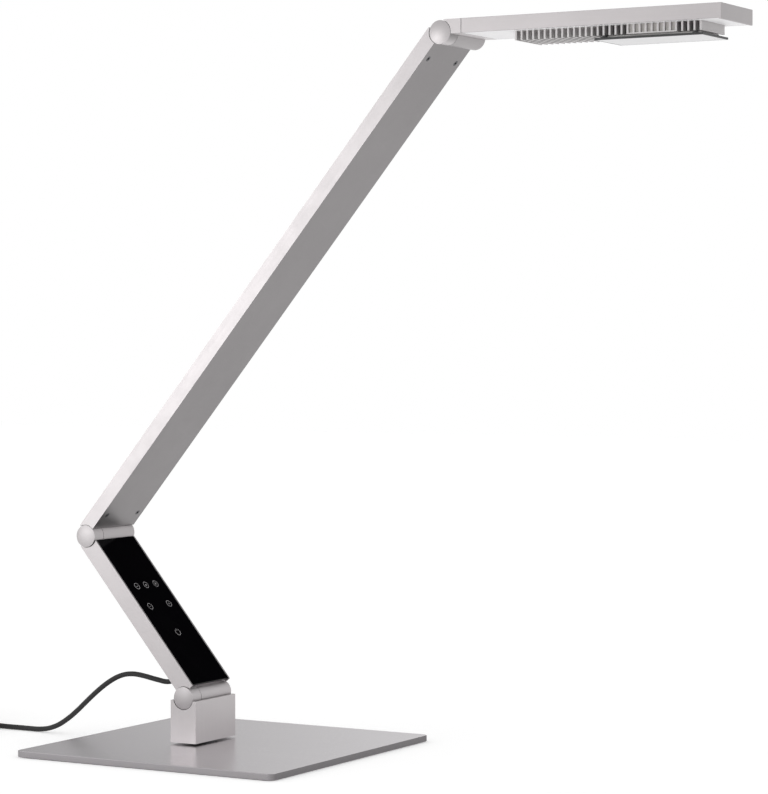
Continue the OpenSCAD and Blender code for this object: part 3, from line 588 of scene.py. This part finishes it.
@dataclass(frozen=True)
class Finishes:
    """Every finish of the lamp."""

    steel_plate: Finish = MetalFinish(
        "plate_brushed_steel", (0.66, 0.63, 0.65), (0.62, 0.59, 0.61), 0.26,
        along=Along.X, line=0.0005, length=0.05, contrast=0.6, bump=0.008,
        edge=(0.5, 0.5, 0.5), dust=0.02, uneven=0.008,
        # Painted shade: the plate's side edges are darker than its top, the +X edge darkest, for how light
        # falls on them.
        painted_light_up=(0.25, 0.47, 1.0), painted_light_down=(0.47, 0.47, 1.0),
    )
    post_alu: Finish = MetalFinish(
        "post_satin_aluminium", (0.55, 0.525, 0.53), (0.49, 0.467, 0.472), 0.38,
        # Painted shade: the post's faces that look along Y are darker, for how light falls on them.
        painted_light_up=(1.0, 0.76, 1.0), painted_light_down=(1.0, 0.76, 1.0),
    )
    low_alu: Finish = MetalFinish(
        "lower_arm_satin_aluminium", (0.43, 0.41, 0.415), (0.38, 0.36, 0.365), 0.38,
        along=Along.LOWER_ARM,
    )
    up_alu: Finish = MetalFinish(
        "upper_arm_satin_aluminium", (0.475, 0.453, 0.458), (0.42, 0.40, 0.405), 0.38,
        # Painted shade: the upper arm's underside, which looks along +X and down Z, is darker than its
        # sides.
        along=Along.UPPER_ARM, painted_light_up=(0.57, 1.0, 1.0), painted_light_down=(1.0, 1.0, 0.57),
    )
    # Painted shadow line: the dark edge colour lines the head housing's edges.
    head_alu: Finish = MetalFinish(
        "head_satin_aluminium", (0.475, 0.454, 0.459), (0.421, 0.40, 0.405), 0.38, along=Along.X,
        # Painted shade: the head's faces that look along +X are slightly darker.
        edge=(0.3, 0.29, 0.29), painted_light_up=(0.9, 1.0, 1.0),
    )
    neck_alu: Finish = MetalFinish(
        "neck_satin_aluminium", (0.50, 0.478, 0.483), (0.45, 0.428, 0.433), 0.42, along=Along.X,
        # Painted shade and light: the neck's +X faces are darker, and its underside is lighter against the
        # shade beneath it.
        painted_light_up=(0.5, 1.0, 1.0), painted_light_down=(1.0, 1.0, 1.3),
    )
    # Painted shade: a darker copy of the turned barrel finish, for the head's hinge barrel.
    head_barrel_shaded_alu: Finish = MetalFinish(
        "head_barrel_turned_aluminium_painted_shade", (0.40, 0.382, 0.386), (0.36, 0.344, 0.348), 0.42,
        **TURNED,
    )
    barrel_alu: Finish = MetalFinish(
        "barrel_turned_aluminium", (0.50, 0.478, 0.483), (0.455, 0.433, 0.438), 0.48,
        **TURNED,
        # Painted light and shade: the barrels' tops are lighter against the shade from the arm above, and
        # their undersides are darker.
        painted_light_up=(0.9, 1.0, 1.9), painted_light_down=(1.0, 1.0, 0.5),
    )
    low_barrel_alu: Finish = MetalFinish(
        "low_barrel_turned_aluminium", (0.43, 0.411, 0.416), (0.39, 0.372, 0.377), 0.48,
        **TURNED,
        # Painted light and shade: the lower barrel's top is lighter against the shade from the arm above.
        painted_light_up=(1.15, 1.0, 2.2), painted_light_down=(1.0, 1.0, 0.95),
    )
    sink_alu: Finish = MetalFinish(
        "sink_extruded_aluminium", (0.66, 0.64, 0.64), (0.58, 0.56, 0.56), 0.45,
        along=Along.Y, line=0.0005, length=0.02, contrast=0.6, bump=0.08, metallic=0.35,
        # Painted shade and light: faces along X are darker as shade in the slots, and the undersides are
        # lighter.
        painted_light_up=(0.82, 0.95, 1.0), painted_light_down=(0.6, 0.95, 1.2),
    )
    screw_steel: Finish = MetalFinish(
        "screw_steel", (0.42, 0.42, 0.43), (0.30, 0.30, 0.31), 0.33,
        line=0.0003, length=0.001,
    )
    dark_screw: Finish = MetalFinish(
        "screw_black_oxide", (0.13, 0.13, 0.135), (0.09, 0.09, 0.095), 0.45,
        line=0.0003, length=0.001, edge=(0.2, 0.2, 0.2),
    )
    plug_metal: Finish = MetalFinish(
        "pin_nickel", (0.66, 0.65, 0.62), (0.56, 0.55, 0.53), 0.22,
        along=Along.X, line=0.0003, length=0.006,
    )
    glass: Finish = GlassFinish(
        "panel_black_glass", (0.0012, 0.001, 0.0016), (0.003, 0.003, 0.0034), 0.08, 1.45, 0.04,
    )
    cover: Finish = MouldedFinish(
        "cover_white_plastic", (0.93, 0.92, 0.93), (0.90, 0.89, 0.90), 0.45,
        pebble=0.0008, edge=(0.9, 0.9, 0.9),
    )
    # Painted shade and light: the LED module is darker than white ceramic and glows, for the tone seen
    # between the fins.
    module: Finish = MouldedFinish(
        "module_ceramic_painted_shade_and_glow", (0.62, 0.60, 0.58), (0.54, 0.52, 0.50), 0.5, edge=(0.8, 0.8, 0.8),
        glow=0.11,
    )
    diffuser: Finish = MouldedFinish(
        "diffuser_opal_acrylic", (0.71, 0.705, 0.71), (0.66, 0.655, 0.66), 0.35,
        pebble=0.0012, bump=0.05, edge=(0.95, 0.95, 0.95), glow=0.03,
    )
    trim: Finish = MouldedFinish(
        "trim_dark_plastic", (0.035, 0.035, 0.037), (0.022, 0.022, 0.023), 0.45, pebble=0.0005,
    )
    pad: Finish = MouldedFinish(
        "pad_felt_rubber", (0.030, 0.030, 0.030), (0.018, 0.018, 0.018), 0.85, pebble=0.0014, bump=0.4,
    )
    cord: Finish = MouldedFinish(
        "cord_grey_rubber", (0.036, 0.035, 0.036), (0.026, 0.026, 0.026), 0.55,
        pebble=0.0004, bump=0.10, edge=(0.1, 0.1, 0.1), gloss=0.25,
    )
    plug: Finish = MouldedFinish(
        "plug_black_plastic", (0.026, 0.026, 0.027), (0.016, 0.016, 0.017), 0.48, pebble=0.0007, bump=0.25,
    )
    board: Finish = MouldedFinish(
        "board_green", (0.020, 0.105, 0.050), (0.012, 0.070, 0.034), 0.4, pebble=0.0009,
        edge=(0.25, 0.22, 0.10),
    )
    white_board: Finish = MouldedFinish(
        "board_white", (0.82, 0.82, 0.80), (0.76, 0.76, 0.74), 0.4, pebble=0.0009, edge=(0.5, 0.4, 0.2),
    )
    led: Finish = MouldedFinish(
        "led_phosphor", (0.90, 0.76, 0.28), (0.84, 0.68, 0.20), 0.35, pebble=0.0003, edge=(0.9, 0.9, 0.85),
    )
    ink: Finish = MouldedFinish(
        "print_pale_grey", (0.54, 0.52, 0.53), (0.48, 0.46, 0.47), 0.55,
        pebble=0.0002, bump=0.03, edge=(0.5, 0.5, 0.5), dust=0.0,
    )


# Pieces

class ShapeGroups:
    """Geometry node groups that prepare CAD nodes for round edges."""

    merge_distance = 0.002 * MM
    smooth_angle = math.radians(40)

    def __init__(self) -> None:
        """Builds both groups."""
        self.joined = self._joined()
        self.shaded = self._shaded()

    @staticmethod
    def _begin(name: str) -> tuple[NodeSheet, NodeSocket, NodeSocket]:
        """Makes an empty group that takes and gives a mesh.

        Args:
            name: Name of the group.

        Returns:
            The sheet, the socket that gives the mesh and the socket that takes it.
        """
        tree = bpy.data.node_groups.new(name, "GeometryNodeTree")
        tree.interface.new_socket("Mesh", in_out="INPUT", socket_type="NodeSocketGeometry")
        tree.interface.new_socket("Mesh", in_out="OUTPUT", socket_type="NodeSocketGeometry")
        sheet = NodeSheet(tree)
        start = sheet.add("NodeGroupInput")
        end = sheet.add("NodeGroupOutput")
        return sheet, start.outputs["Mesh"], end.inputs["Mesh"]

    def _joined(self) -> NodeTree:
        """Joins the faces at their edges and drops stored normals.

        Returns:
            The group.
        """
        sheet, given, taken = self._begin("joined_faces")
        plain = sheet.add("GeometryNodeRemoveAttribute", {"Geometry": given, "Name": "custom_normal"})
        merged = sheet.add("GeometryNodeMergeByDistance", {
            "Geometry": plain.outputs["Geometry"], "Distance": self.merge_distance,
        })
        sheet.feed(taken, merged.outputs["Geometry"])
        return sheet.tree

    def _shaded(self) -> NodeTree:
        """Shades smoothly, apart from edges over the smooth angle.

        Returns:
            The group.
        """
        sheet, given, taken = self._begin("smooth_by_angle")
        faces = sheet.add("GeometryNodeSetShadeSmooth", {
            "Geometry": given, "Shade Smooth": True,
        }, domain="FACE")
        angle = sheet.add("GeometryNodeInputMeshEdgeAngle")
        soft = sheet.add("FunctionNodeCompare", {
            "A": angle.outputs["Unsigned Angle"], "B": self.smooth_angle,
        }, data_type="FLOAT", operation="LESS_THAN")
        edges = sheet.add("GeometryNodeSetShadeSmooth", {
            "Geometry": faces.outputs["Geometry"], "Shade Smooth": soft.outputs["Result"],
        }, domain="EDGE")
        sheet.feed(taken, edges.outputs["Geometry"])
        return sheet.tree


class Dresser:
    """Gives CAD nodes their materials and rounds their edges."""

    flat_angle = math.radians(0.5)
    sharp_angle = math.radians(35)
    round_steps = 3

    def __init__(self, nodes: Nodes) -> None:
        """Keeps the nodes of the frame.

        Args:
            nodes: CAD objects by name.
        """
        self.nodes = nodes
        self.materials: dict[str, Material] = {}
        self.shapes = ShapeGroups()

    def paint(self, piece: Object, finish: Finish) -> None:
        """Puts one finish on a whole piece.

        Args:
            piece: Object to paint.
            finish: Its finish, whose material is built at the first use.
        """
        if finish.name not in self.materials:
            self.materials[finish.name] = finish.material()
        piece.data.materials.clear()
        piece.data.materials.append(self.materials[finish.name])
        LOG.info("%s: %s", piece.name, finish.name)

    def dress(self, names: list[str], finish: Finish, edge: float = 0.0) -> None:
        """Paints CAD nodes and softens their edges.

        Args:
            names: Nodes to dress.
            finish: Their finish.
            edge: Width of the edge rounding in metres, 0 for none.
        """
        for name in names:
            piece = self.nodes[name]
            self.paint(piece, finish)
            if edge > 0:
                self.soften(piece, edge)

    def soften(self, piece: Object, width: float) -> None:
        """Rounds the sharp edges of a CAD node with modifiers, its mesh stays.

        Args:
            piece: Object of the node.
            width: Width of the rounding in metres.
        """
        joined = piece.modifiers.new("join_faces", "NODES")
        joined.node_group = self.shapes.joined
        whole = piece.modifiers.new("whole_faces", "DECIMATE")
        whole.decimate_type = "DISSOLVE"
        whole.angle_limit = self.flat_angle
        bevel = piece.modifiers.new("round_edges", "BEVEL")
        bevel.width = width
        bevel.segments = self.round_steps
        bevel.limit_method = "ANGLE"
        bevel.angle_limit = self.sharp_angle
        bevel.use_clamp_overlap = True
        shaded = piece.modifiers.new("shade_by_angle", "NODES")
        shaded.node_group = self.shapes.shaded
        even = piece.modifiers.new("even_faces", "WEIGHTED_NORMAL")
        even.keep_sharp = True


@dataclass
class Assembly(ABC):
    """Sub-assembly of the lamp, with what it needs to dress its pieces."""

    dresser: Dresser
    finishes: Finishes

    @abstractmethod
    def build(self) -> None:
        """Makes and dresses the pieces."""


@dataclass
class Base(Assembly):
    """Square steel plate with its pad and the swivel pieces."""

    edge: float = 0.35 * MM

    def build(self) -> None:
        """Dresses the plate, the pad and the swivel."""
        dress = self.dresser.dress
        looks = self.finishes
        dress(["base_plate"], looks.steel_plate, self.edge)
        dress(["base_pad"], looks.pad)
        dress(["swivel_glide"], looks.trim)
        dress(["swivel_spindle", "swivel_spring", "swivel_nut"], looks.screw_steel)


@dataclass
class Post(Assembly):
    """Turning block with the long sleeve of the lower hinge."""

    edge: float = 0.4 * MM
    barrel_edge: float = 0.2 * MM

    def build(self) -> None:
        """Dresses the block, the sleeve, the cap and the screws."""
        dress = self.dresser.dress
        looks = self.finishes
        dress(["post_block"], looks.post_alu, self.edge)
        dress(["low_sleeve", "low_cap"], looks.low_barrel_alu, self.barrel_edge)
        dress(["post_screws"], looks.screw_steel)


STROKE = 0.28 * MM
THIN_STROKE = 0.18 * MM


def round_points(x: float, y: float, radius: float, angles: list[float]) -> list[Point]:
    """Gives the points of a circle at these angles."""
    return [(x + radius * math.cos(a), y + radius * math.sin(a)) for a in angles]


@dataclass(frozen=True)
class Bar:
    """Straight printed stroke, with its ends in shares of the symbol's radius."""

    start: Point
    end: Point
    width: float = THIN_STROKE

    def outlines(self, centre: Point, radius: float) -> list[list[Point]]:
        """Gives the stroke on the panel.

        Args:
            centre: Middle of the symbol.
            radius: Radius of the symbol.

        Returns:
            Its one outline, counterclockwise.
        """
        a = Vector(centre) + radius * Vector(self.start)
        b = Vector(centre) + radius * Vector(self.end)
        along = (b - a).normalized() * self.width / 2
        side = Vector((-along.y, along.x))
        corners = [a - along - side, b + along - side, b + along + side, a - along + side]
        return [[tuple(corner) for corner in corners]]


@dataclass(frozen=True)
class Arc:
    """Curved printed stroke, with its middle and reach in shares of the symbol's radius."""

    middle: Point = (0.0, 0.0)
    reach: float = 1.0
    first: float = 0.0
    last: float = 360.0
    width: float = STROKE
    parts: int = 28

    def outlines(self, centre: Point, radius: float) -> list[list[Point]]:
        """Gives the stroke on the panel as a chain of short plates.

        Args:
            centre: Middle of the symbol.
            radius: Radius of the symbol.

        Returns:
            The plates' outlines, counterclockwise.
        """
        step = (self.last - self.first) / self.parts
        angles = [math.radians(self.first + step * k) for k in range(self.parts + 1)]
        x = centre[0] + radius * self.middle[0]
        y = centre[1] + radius * self.middle[1]
        rims = [radius * self.reach - self.width / 2, radius * self.reach + self.width / 2]
        inner, outer = (round_points(x, y, rim, angles) for rim in rims)
        return [[inner[k], outer[k], outer[k + 1], inner[k + 1]] for k in range(self.parts)]


@dataclass(frozen=True)
class Disc:
    """Round printed spot, with its reach as a share of the symbol's radius."""

    reach: float
    parts: int = 24

    def outlines(self, centre: Point, radius: float) -> list[list[Point]]:
        """Gives the spot's one outline on the panel."""
        turns = [2 * math.pi * k / self.parts for k in range(self.parts)]
        return [round_points(*centre, self.reach * radius, turns)]


def spoke(angle: float, reach: float) -> Bar:
    """Gives a stroke through a symbol's middle, at an angle in degrees."""
    end = (reach * math.cos(math.radians(angle)), reach * math.sin(math.radians(angle)))
    return Bar((-end[0], -end[1]), end)


class Symbol(Enum):
    """Touch symbols on the panel, each with its strokes."""

    WARM = (Arc(), Bar((-0.4, -0.2), (0.4, -0.2)), Arc((0.0, -0.2), 0.2, last=180.0, width=THIN_STROKE))
    NEUTRAL = (Arc(), Disc(0.24))
    COOL = (Arc(), spoke(30, 0.4), spoke(90, 0.4), spoke(150, 0.4))
    DIMMER = (Arc(), spoke(0, 0.35))
    BRIGHTER = (Arc(), spoke(0, 0.35), spoke(90, 0.35))
    POWER = (Arc(first=125.0, last=415.0), Bar((0.0, 0.5), (0.0, 1.15), width=STROKE))


def plates_mesh(name: str, outlines: list[list[Point]], low: float, high: float) -> Mesh:
    """Makes thin plates on the panel: X points out of its face, Y across it and Z up the arm.

    Args:
        name: Name of the mesh.
        outlines: Outline of each plate, counterclockwise.
        low: Height of the undersides over the hinge axis.
        high: Height of the upper sides.

    Returns:
        The mesh of all plates.
    """
    work = bmesh.new()
    for outline in outlines:
        below = [work.verts.new((low, y, z)) for y, z in outline]
        above = [work.verts.new((high, y, z)) for y, z in outline]
        work.faces.new(list(reversed(below)))
        work.faces.new(above)
        count = len(outline)
        for k in range(count):
            n = (k + 1) % count
            work.faces.new((below[k], below[n], above[n], above[k]))
    bmesh.ops.recalc_face_normals(work, faces=work.faces)
    mesh = bpy.data.meshes.new(name)
    work.to_mesh(mesh)
    work.free()
    return mesh


@dataclass
class LowerArm(Assembly):
    """Control arm: shell, glass with printed symbols, boards and hinge pieces."""

    axis: Vector = millimetres(-22, 0, 43)
    lean: float = 40.0
    face: float = 12.8 * MM
    print_sink: float = 0.02 * MM
    print_rise: float = 0.04 * MM
    radius: float = 2.9 * MM
    edge: float = 0.35 * MM
    barrel_edge: float = 0.2 * MM
    glass_edge: float = 0.25 * MM
    places: dict[Symbol, Point] = field(default_factory=lambda: {
        Symbol.WARM: (-13.2 * MM, 101.5 * MM),
        Symbol.NEUTRAL: (-0.6 * MM, 101.5 * MM),
        Symbol.COOL: (13.1 * MM, 101.5 * MM),
        Symbol.DIMMER: (-13.5 * MM, 81.0 * MM),
        Symbol.BRIGHTER: (13.2 * MM, 81.0 * MM),
        Symbol.POWER: (0.0, 53.3 * MM),
    })

    def build(self) -> None:
        """Dresses the arm and prints the symbols."""
        dress = self.dresser.dress
        looks = self.finishes
        dress(["arm_shell"], looks.low_alu, self.edge)
        dress(["low_knuckle"], looks.low_barrel_alu, self.barrel_edge)
        dress(["elbow_knuckle"], looks.barrel_alu, self.barrel_edge)
        dress(["control_glass"], looks.glass, self.glass_edge)
        dress(["touch_board", "driver_board"], looks.board)
        dress(["arm_screws", "low_pin", "low_nut", "elbow_pin", "elbow_nut"], looks.screw_steel)
        dress(["low_spring", "elbow_spring"], looks.screw_steel)
        dress(["low_washer", "elbow_washer"], looks.trim)
        dress(["cord_relief"], looks.plug)
        for symbol, place in self.places.items():
            piece = self.symbol(symbol, place)
            self.dresser.paint(piece, looks.ink)
            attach(piece, "lower_arm")

    def symbol(self, symbol: Symbol, place: Point) -> Object:
        """Prints one symbol on the glass.

        Args:
            symbol: Which symbol.
            place: Its middle across the arm and up the arm.

        Returns:
            The printed piece, in place.
        """
        name = "symbol_" + symbol.name.lower()
        outlines = [outline for stroke in symbol.value for outline in stroke.outlines(place, self.radius)]
        mesh = plates_mesh(name, outlines, self.face - self.print_sink, self.face + self.print_rise)
        turn = Matrix.Rotation(math.radians(-self.lean), 4, "Y")
        mesh.transform(Matrix.Translation(self.axis) @ turn)
        return link_object(name, mesh)


@dataclass
class UpperArm(Assembly):
    """Long flat arm with the sleeves of the middle and the head hinge."""

    edge: float = 0.4 * MM
    barrel_edge: float = 0.2 * MM

    def build(self) -> None:
        """Dresses the arm, its sleeves, caps and screws."""
        dress = self.dresser.dress
        looks = self.finishes
        dress(["upper_tube"], looks.up_alu, self.edge)
        dress(["elbow_sleeve", "elbow_cap"], looks.barrel_alu, self.barrel_edge)
        # The head's hinge barrel takes the darker copy, with painted shade.
        dress(["head_sleeve", "head_cap"], looks.head_barrel_shaded_alu, self.barrel_edge)
        dress(["tube_screws"], looks.dark_screw)
        dress(["arm_wire"], looks.cord)


@dataclass
class Head(Assembly):
    """Flat head with cover, finned block and light plate."""

    edge: float = 0.4 * MM
    barrel_edge: float = 0.2 * MM
    fin_edge: float = 0.12 * MM
    plate_edge: float = 0.2 * MM

    def build(self) -> None:
        """Dresses the head's pieces."""
        dress = self.dresser.dress
        looks = self.finishes
        dress(["head_housing"], looks.head_alu, self.edge)
        dress(["head_neck"], looks.neck_alu, self.barrel_edge)
        dress(["head_pin", "head_spring", "head_nut", "neck_screws"], looks.screw_steel)
        dress(["head_washer"], looks.trim)
        dress(["underside_cover"], looks.cover, self.plate_edge)
        dress(["heat_sink"], looks.sink_alu, self.fin_edge)
        dress(["led_module"], looks.module)
        dress(["led_board"], looks.white_board)
        dress(["leds"], looks.led)
        dress(["light_plate"], looks.diffuser, self.plate_edge)
        dress(["light_frame"], looks.trim, self.fin_edge)


@dataclass
class SupplyCord(Assembly):
    """Cord from the lower arm over the table, coiled out of view, with its plug."""

    diameter: float = 4.2 * MM
    coil_gap: float = 0.5 * MM
    coil_radius: float = 29 * MM
    coil_middle: Point = (-264 * MM, -24 * MM)
    coil_low: float = 3.3 * MM
    turns_in_layer: float = 2.125
    turns_in_climb: float = 0.5
    layers: int = 4
    steps: int = 24
    step_length: float = 3.5 * MM
    sides: int = 14
    plug_edge: float = 0.8 * MM
    pin_edge: float = 0.3 * MM
    hold_start: Vector = millimetres(-48, 7, 56.4)
    hold_end: Vector = millimetres(-176, 5, 5)

    def lead(self) -> list[Vector]:
        """Follows the lead from the arm's outlet to the coil.

        Returns:
            Points of its middle line, in metres.
        """
        points = [
            (-45.64, 7, 58.41), (-50.23, 7, 54.56), (-54.4, 7, 51.9), (-59.1, 7, 50.3), (-64, 7, 49.95),
            (-69.5, 7, 50.75), (-75.5, 7, 51.7), (-81.5, 7, 52.8), (-87.5, 7, 53.7), (-94, 7, 54.3),
            (-103, 6.9, 53.55), (-112, 6.7, 50.5), (-122, 6.4, 44.75), (-132, 6, 37.2), (-142, 5.6, 28.6),
            (-151, 5.3, 20.6), (-160, 5.1, 13.6), (-170, 5, 7.5), (-180, 5, 3.85), (-190, 5, 2.35),
            (-202, 5, 2.2), (-214, 5, 2.2), (-226, 5, 2.2), (-238, 5, 2.6), (-250, 5, 3.3),
            (-259.8, 5, 3.3),
        ]
        return [Vector(p) * MM for p in points]

    def coil_point(self, turn: float) -> Vector:
        """Gives the coil's middle line after a number of turns.

        Args:
            turn: Turns from the coil's start.

        Returns:
            The point, in metres.
        """
        pitch = self.diameter + self.coil_gap
        span = self.turns_in_layer + self.turns_in_climb
        layer = min(self.layers - 1, math.floor(turn / span + 1e-9))
        inside = turn - layer * span
        inner = self.coil_radius - self.turns_in_layer * pitch
        climb = max(0.0, inside - self.turns_in_layer)
        bump = pitch * (climb - 2 * climb * climb)
        inward = layer % 2 == 0
        if climb == 0:
            radius = self.coil_radius - pitch * inside if inward else inner + pitch * inside
        else:
            radius = inner - bump if inward else self.coil_radius + bump
        height = self.coil_low + pitch * (layer + climb / self.turns_in_climb)
        angle = math.radians(90 + 360 * turn)
        return Vector((
            self.coil_middle[0] + radius * math.cos(angle),
            self.coil_middle[1] + radius * math.sin(angle),
            height,
        ))

    def route(self) -> list[Vector]:
        """Follows the whole cord, from the outlet to the plug's relief.

        Returns:
            Points of its middle line, in metres.
        """
        turns = self.layers * self.turns_in_layer + (self.layers - 1) * self.turns_in_climb
        count = round(turns * self.steps)
        coil = [self.coil_point(i / self.steps) for i in range(count + 1)]
        pitch = self.diameter + self.coil_gap
        top = self.coil_low + (self.layers - 1) * pitch
        end = Vector((self.coil_middle[0] - self.diameter, self.coil_middle[1] + self.coil_radius, top))
        return smooth_line(self.lead() + coil + [end], self.step_length)

    def build(self) -> None:
        """Builds the cord and dresses the pieces on it."""
        dress = self.dresser.dress
        looks = self.finishes
        line = self.route()
        cord = link_object("supply_cord", tube_mesh("supply_cord", line, self.diameter / 2, self.sides))
        self.dresser.paint(cord, looks.cord)
        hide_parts("cord_lead", "cord_coil")
        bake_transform(cord)
        dress(["cord_lead", "cord_coil"], looks.cord)
        dress(["cord_tie", "plug_relief"], looks.plug)
        dress(["plug_body"], looks.plug, self.plug_edge)
        dress(["plug_pins"], looks.plug_metal, self.pin_edge)


# Camera, floor and light

@dataclass(frozen=True)
class SoftLight:
    """Rectangular soft light that the camera doesn't see, with its power in watts."""

    name: str
    size: tuple[float, float]
    power: float
    place: Triple
    aim: Triple

    def hang(self) -> None:
        """Hangs the light in its place, turned to the point that it aims at."""
        lamp = bpy.data.lights.new(self.name, "AREA")
        lamp.shape = "RECTANGLE"
        lamp.size, lamp.size_y = self.size
        lamp.energy = self.power
        hung = bpy.data.objects.new(self.name, lamp)
        hung.location = self.place
        hung.rotation_euler = (Vector(self.place) - Vector(self.aim)).to_track_quat("Z", "Y").to_euler()
        hung.visible_camera = False
        bpy.context.scene.collection.objects.link(hung)


@dataclass
class Studio:
    """Camera at the photograph's place, pale floor and soft light."""

    eye: Vector = millimetres(1249.89, -1909.52, 339.39)
    yaw: float = 30.02
    pitch: float = -1.41
    focal_pixels: float = 2844.81
    picture: tuple[int, int] = (768, 794)
    sensor: float = 36.0
    view_depth: float = 100.0
    sky_light: float = 0.78
    ceiling_level: float = 0.8
    ceiling_band: tuple[float, float] = (0.2, 0.9)
    corner_level: float = 0.27
    corner_left: tuple[float, float] = (0.41, 0.65)
    corner_back: tuple[float, float] = (0.2, 0.5)
    flag_level: float = 0.02
    flag_towards: Vector = field(default_factory=lambda: Vector((0.11, 0.87, 0.49)).normalized())
    flag_band: tuple[float, float] = (0.955, 0.985)
    lights: tuple[SoftLight, ...] = (
        SoftLight("soft_key", (1.0, 0.65), 4.2, place=(-0.85, -1.40, 0.37), aim=(0.02, 0.0, 0.30)),
        SoftLight("soft_fill", (0.60, 0.40), 0.7, place=(0.46, 0.0, 0.04), aim=(0.32, 0.0, 0.56)),
    )
    floor_level: float = 0.92
    floor_drift: float = 0.01
    floor_spread: float = 0.8
    floor_lift: float = 0.295
    floor_side: float = 12.0

    def camera(self) -> None:
        """Places the camera."""
        lens = bpy.data.cameras.new("photo_camera")
        lens.sensor_width = self.sensor
        lens.sensor_fit = "AUTO"
        lens.lens = self.focal_pixels / max(self.picture) * self.sensor
        lens.clip_end = self.view_depth
        yaw = math.radians(self.yaw)
        pitch = math.radians(self.pitch)
        ahead = Vector((-math.sin(yaw) * math.cos(pitch), math.cos(yaw) * math.cos(pitch), math.sin(pitch)))
        right = Vector((math.cos(yaw), math.sin(yaw), 0))
        up = right.cross(ahead)
        turn = Matrix((right, up, -ahead)).transposed().to_4x4()
        camera = bpy.data.objects.new("photo_camera", lens)
        camera.matrix_world = Matrix.Translation(self.eye) @ turn
        bpy.context.scene.collection.objects.link(camera)
        bpy.context.scene.camera = camera

    def floor(self) -> None:
        """Lays the pale floor, which takes the shadow and glows for camera, gloss and glass rays."""
        half = self.floor_side / 2
        mesh = bpy.data.meshes.new("floor")
        corners = [(-half, -half, 0), (half, -half, 0), (half, half, 0), (-half, half, 0)]
        mesh.from_pydata(corners, [], [(0, 1, 2, 3)])
        floor = link_object("floor", mesh)
        material = bpy.data.materials.new("floor_white_paper")
        material.use_nodes = True
        sheet = NodeSheet(material.node_tree)
        tone = place_effect(sheet, Effect.TONE, {"Spread": self.floor_spread})
        pale = grey(self.floor_level)
        colour = sheet.mix(tone.outputs["Tone"], grey(self.floor_level - self.floor_drift), pale)
        paper = sheet.add("ShaderNodeBsdfDiffuse", {"Color": colour})
        rays = sheet.add("ShaderNodeLightPath")
        seen = sheet.math("MAXIMUM", rays.outputs["Is Camera Ray"], rays.outputs["Is Glossy Ray"])
        seen = sheet.math("MAXIMUM", seen, rays.outputs["Is Transmission Ray"])
        glow = sheet.add("ShaderNodeEmission", {"Strength": sheet.math("MULTIPLY", seen, self.floor_lift)})
        both = sheet.add("ShaderNodeAddShader", {0: paper.outputs[0], 1: glow.outputs[0]})
        end = sheet.add("ShaderNodeOutputMaterial")
        sheet.feed(end.inputs["Surface"], both.outputs[0])
        mesh.materials.append(material)

    def world(self) -> None:
        """Sets a white backdrop and the light from it.

        Gloss and glass see it with a darker ceiling, a darker back left corner and a dark flag.
        """
        world = bpy.data.worlds.new("white_studio")
        world.use_nodes = True
        bpy.context.scene.world = world
        sheet = NodeSheet(world.node_tree)
        towards = sheet.add("ShaderNodeTexCoord").outputs["Generated"]
        split = sheet.add("ShaderNodeSeparateXYZ", {"Vector": towards})
        height = sheet.ramp(split.outputs["Z"], *self.ceiling_band)
        mirror = sheet.mix(height, grey(1.0), grey(self.ceiling_level))
        left = sheet.ramp(sheet.math("MULTIPLY", split.outputs["X"], -1.0), *self.corner_left)
        back = sheet.ramp(split.outputs["Y"], *self.corner_back)
        mirror = sheet.mix(sheet.math("MULTIPLY", left, back), mirror, grey(self.corner_level))
        near = sheet.vector("DOT_PRODUCT", towards, tuple(self.flag_towards))
        flag = sheet.ramp(near.outputs["Value"], *self.flag_band)
        mirror = sheet.mix(flag, mirror, grey(self.flag_level))
        backdrop = sheet.add("ShaderNodeBackground", {"Color": grey(1.0), "Strength": 1.0})
        mirrored = sheet.add("ShaderNodeBackground", {"Color": mirror, "Strength": 1.0})
        light = sheet.add("ShaderNodeBackground", {"Color": grey(1.0), "Strength": self.sky_light})
        rays = sheet.add("ShaderNodeLightPath")
        bounced = sheet.math("MAXIMUM", rays.outputs["Is Glossy Ray"], rays.outputs["Is Transmission Ray"])
        unseen = sheet.add("ShaderNodeMixShader", {0: bounced, 1: light.outputs[0], 2: mirrored.outputs[0]})
        both = sheet.add("ShaderNodeMixShader", {
            0: rays.outputs["Is Camera Ray"], 1: unseen.outputs[0], 2: backdrop.outputs[0],
        })
        end = sheet.add("ShaderNodeOutputWorld")
        sheet.feed(end.inputs["Surface"], both.outputs[0])

    def build(self) -> None:
        """Sets up camera, floor and light."""
        self.camera()
        self.floor()
        self.world()
        for light in self.lights:
            light.hang()
        bpy.context.scene.view_settings.view_transform = "Standard"


def main() -> None:
    """Builds the lamp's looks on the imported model."""
    logging.basicConfig(level=logging.INFO, format="%(message)s")
    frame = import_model()
    finishes = Finishes()
    dresser = Dresser(frame["nodes"])
    Studio().build()
    for kind in (SupplyCord, Base, Post, LowerArm, UpperArm, Head):
        LOG.info("building %s", kind.__name__)
        kind(dresser, finishes).build()


if __name__ == "__main__":
    main()
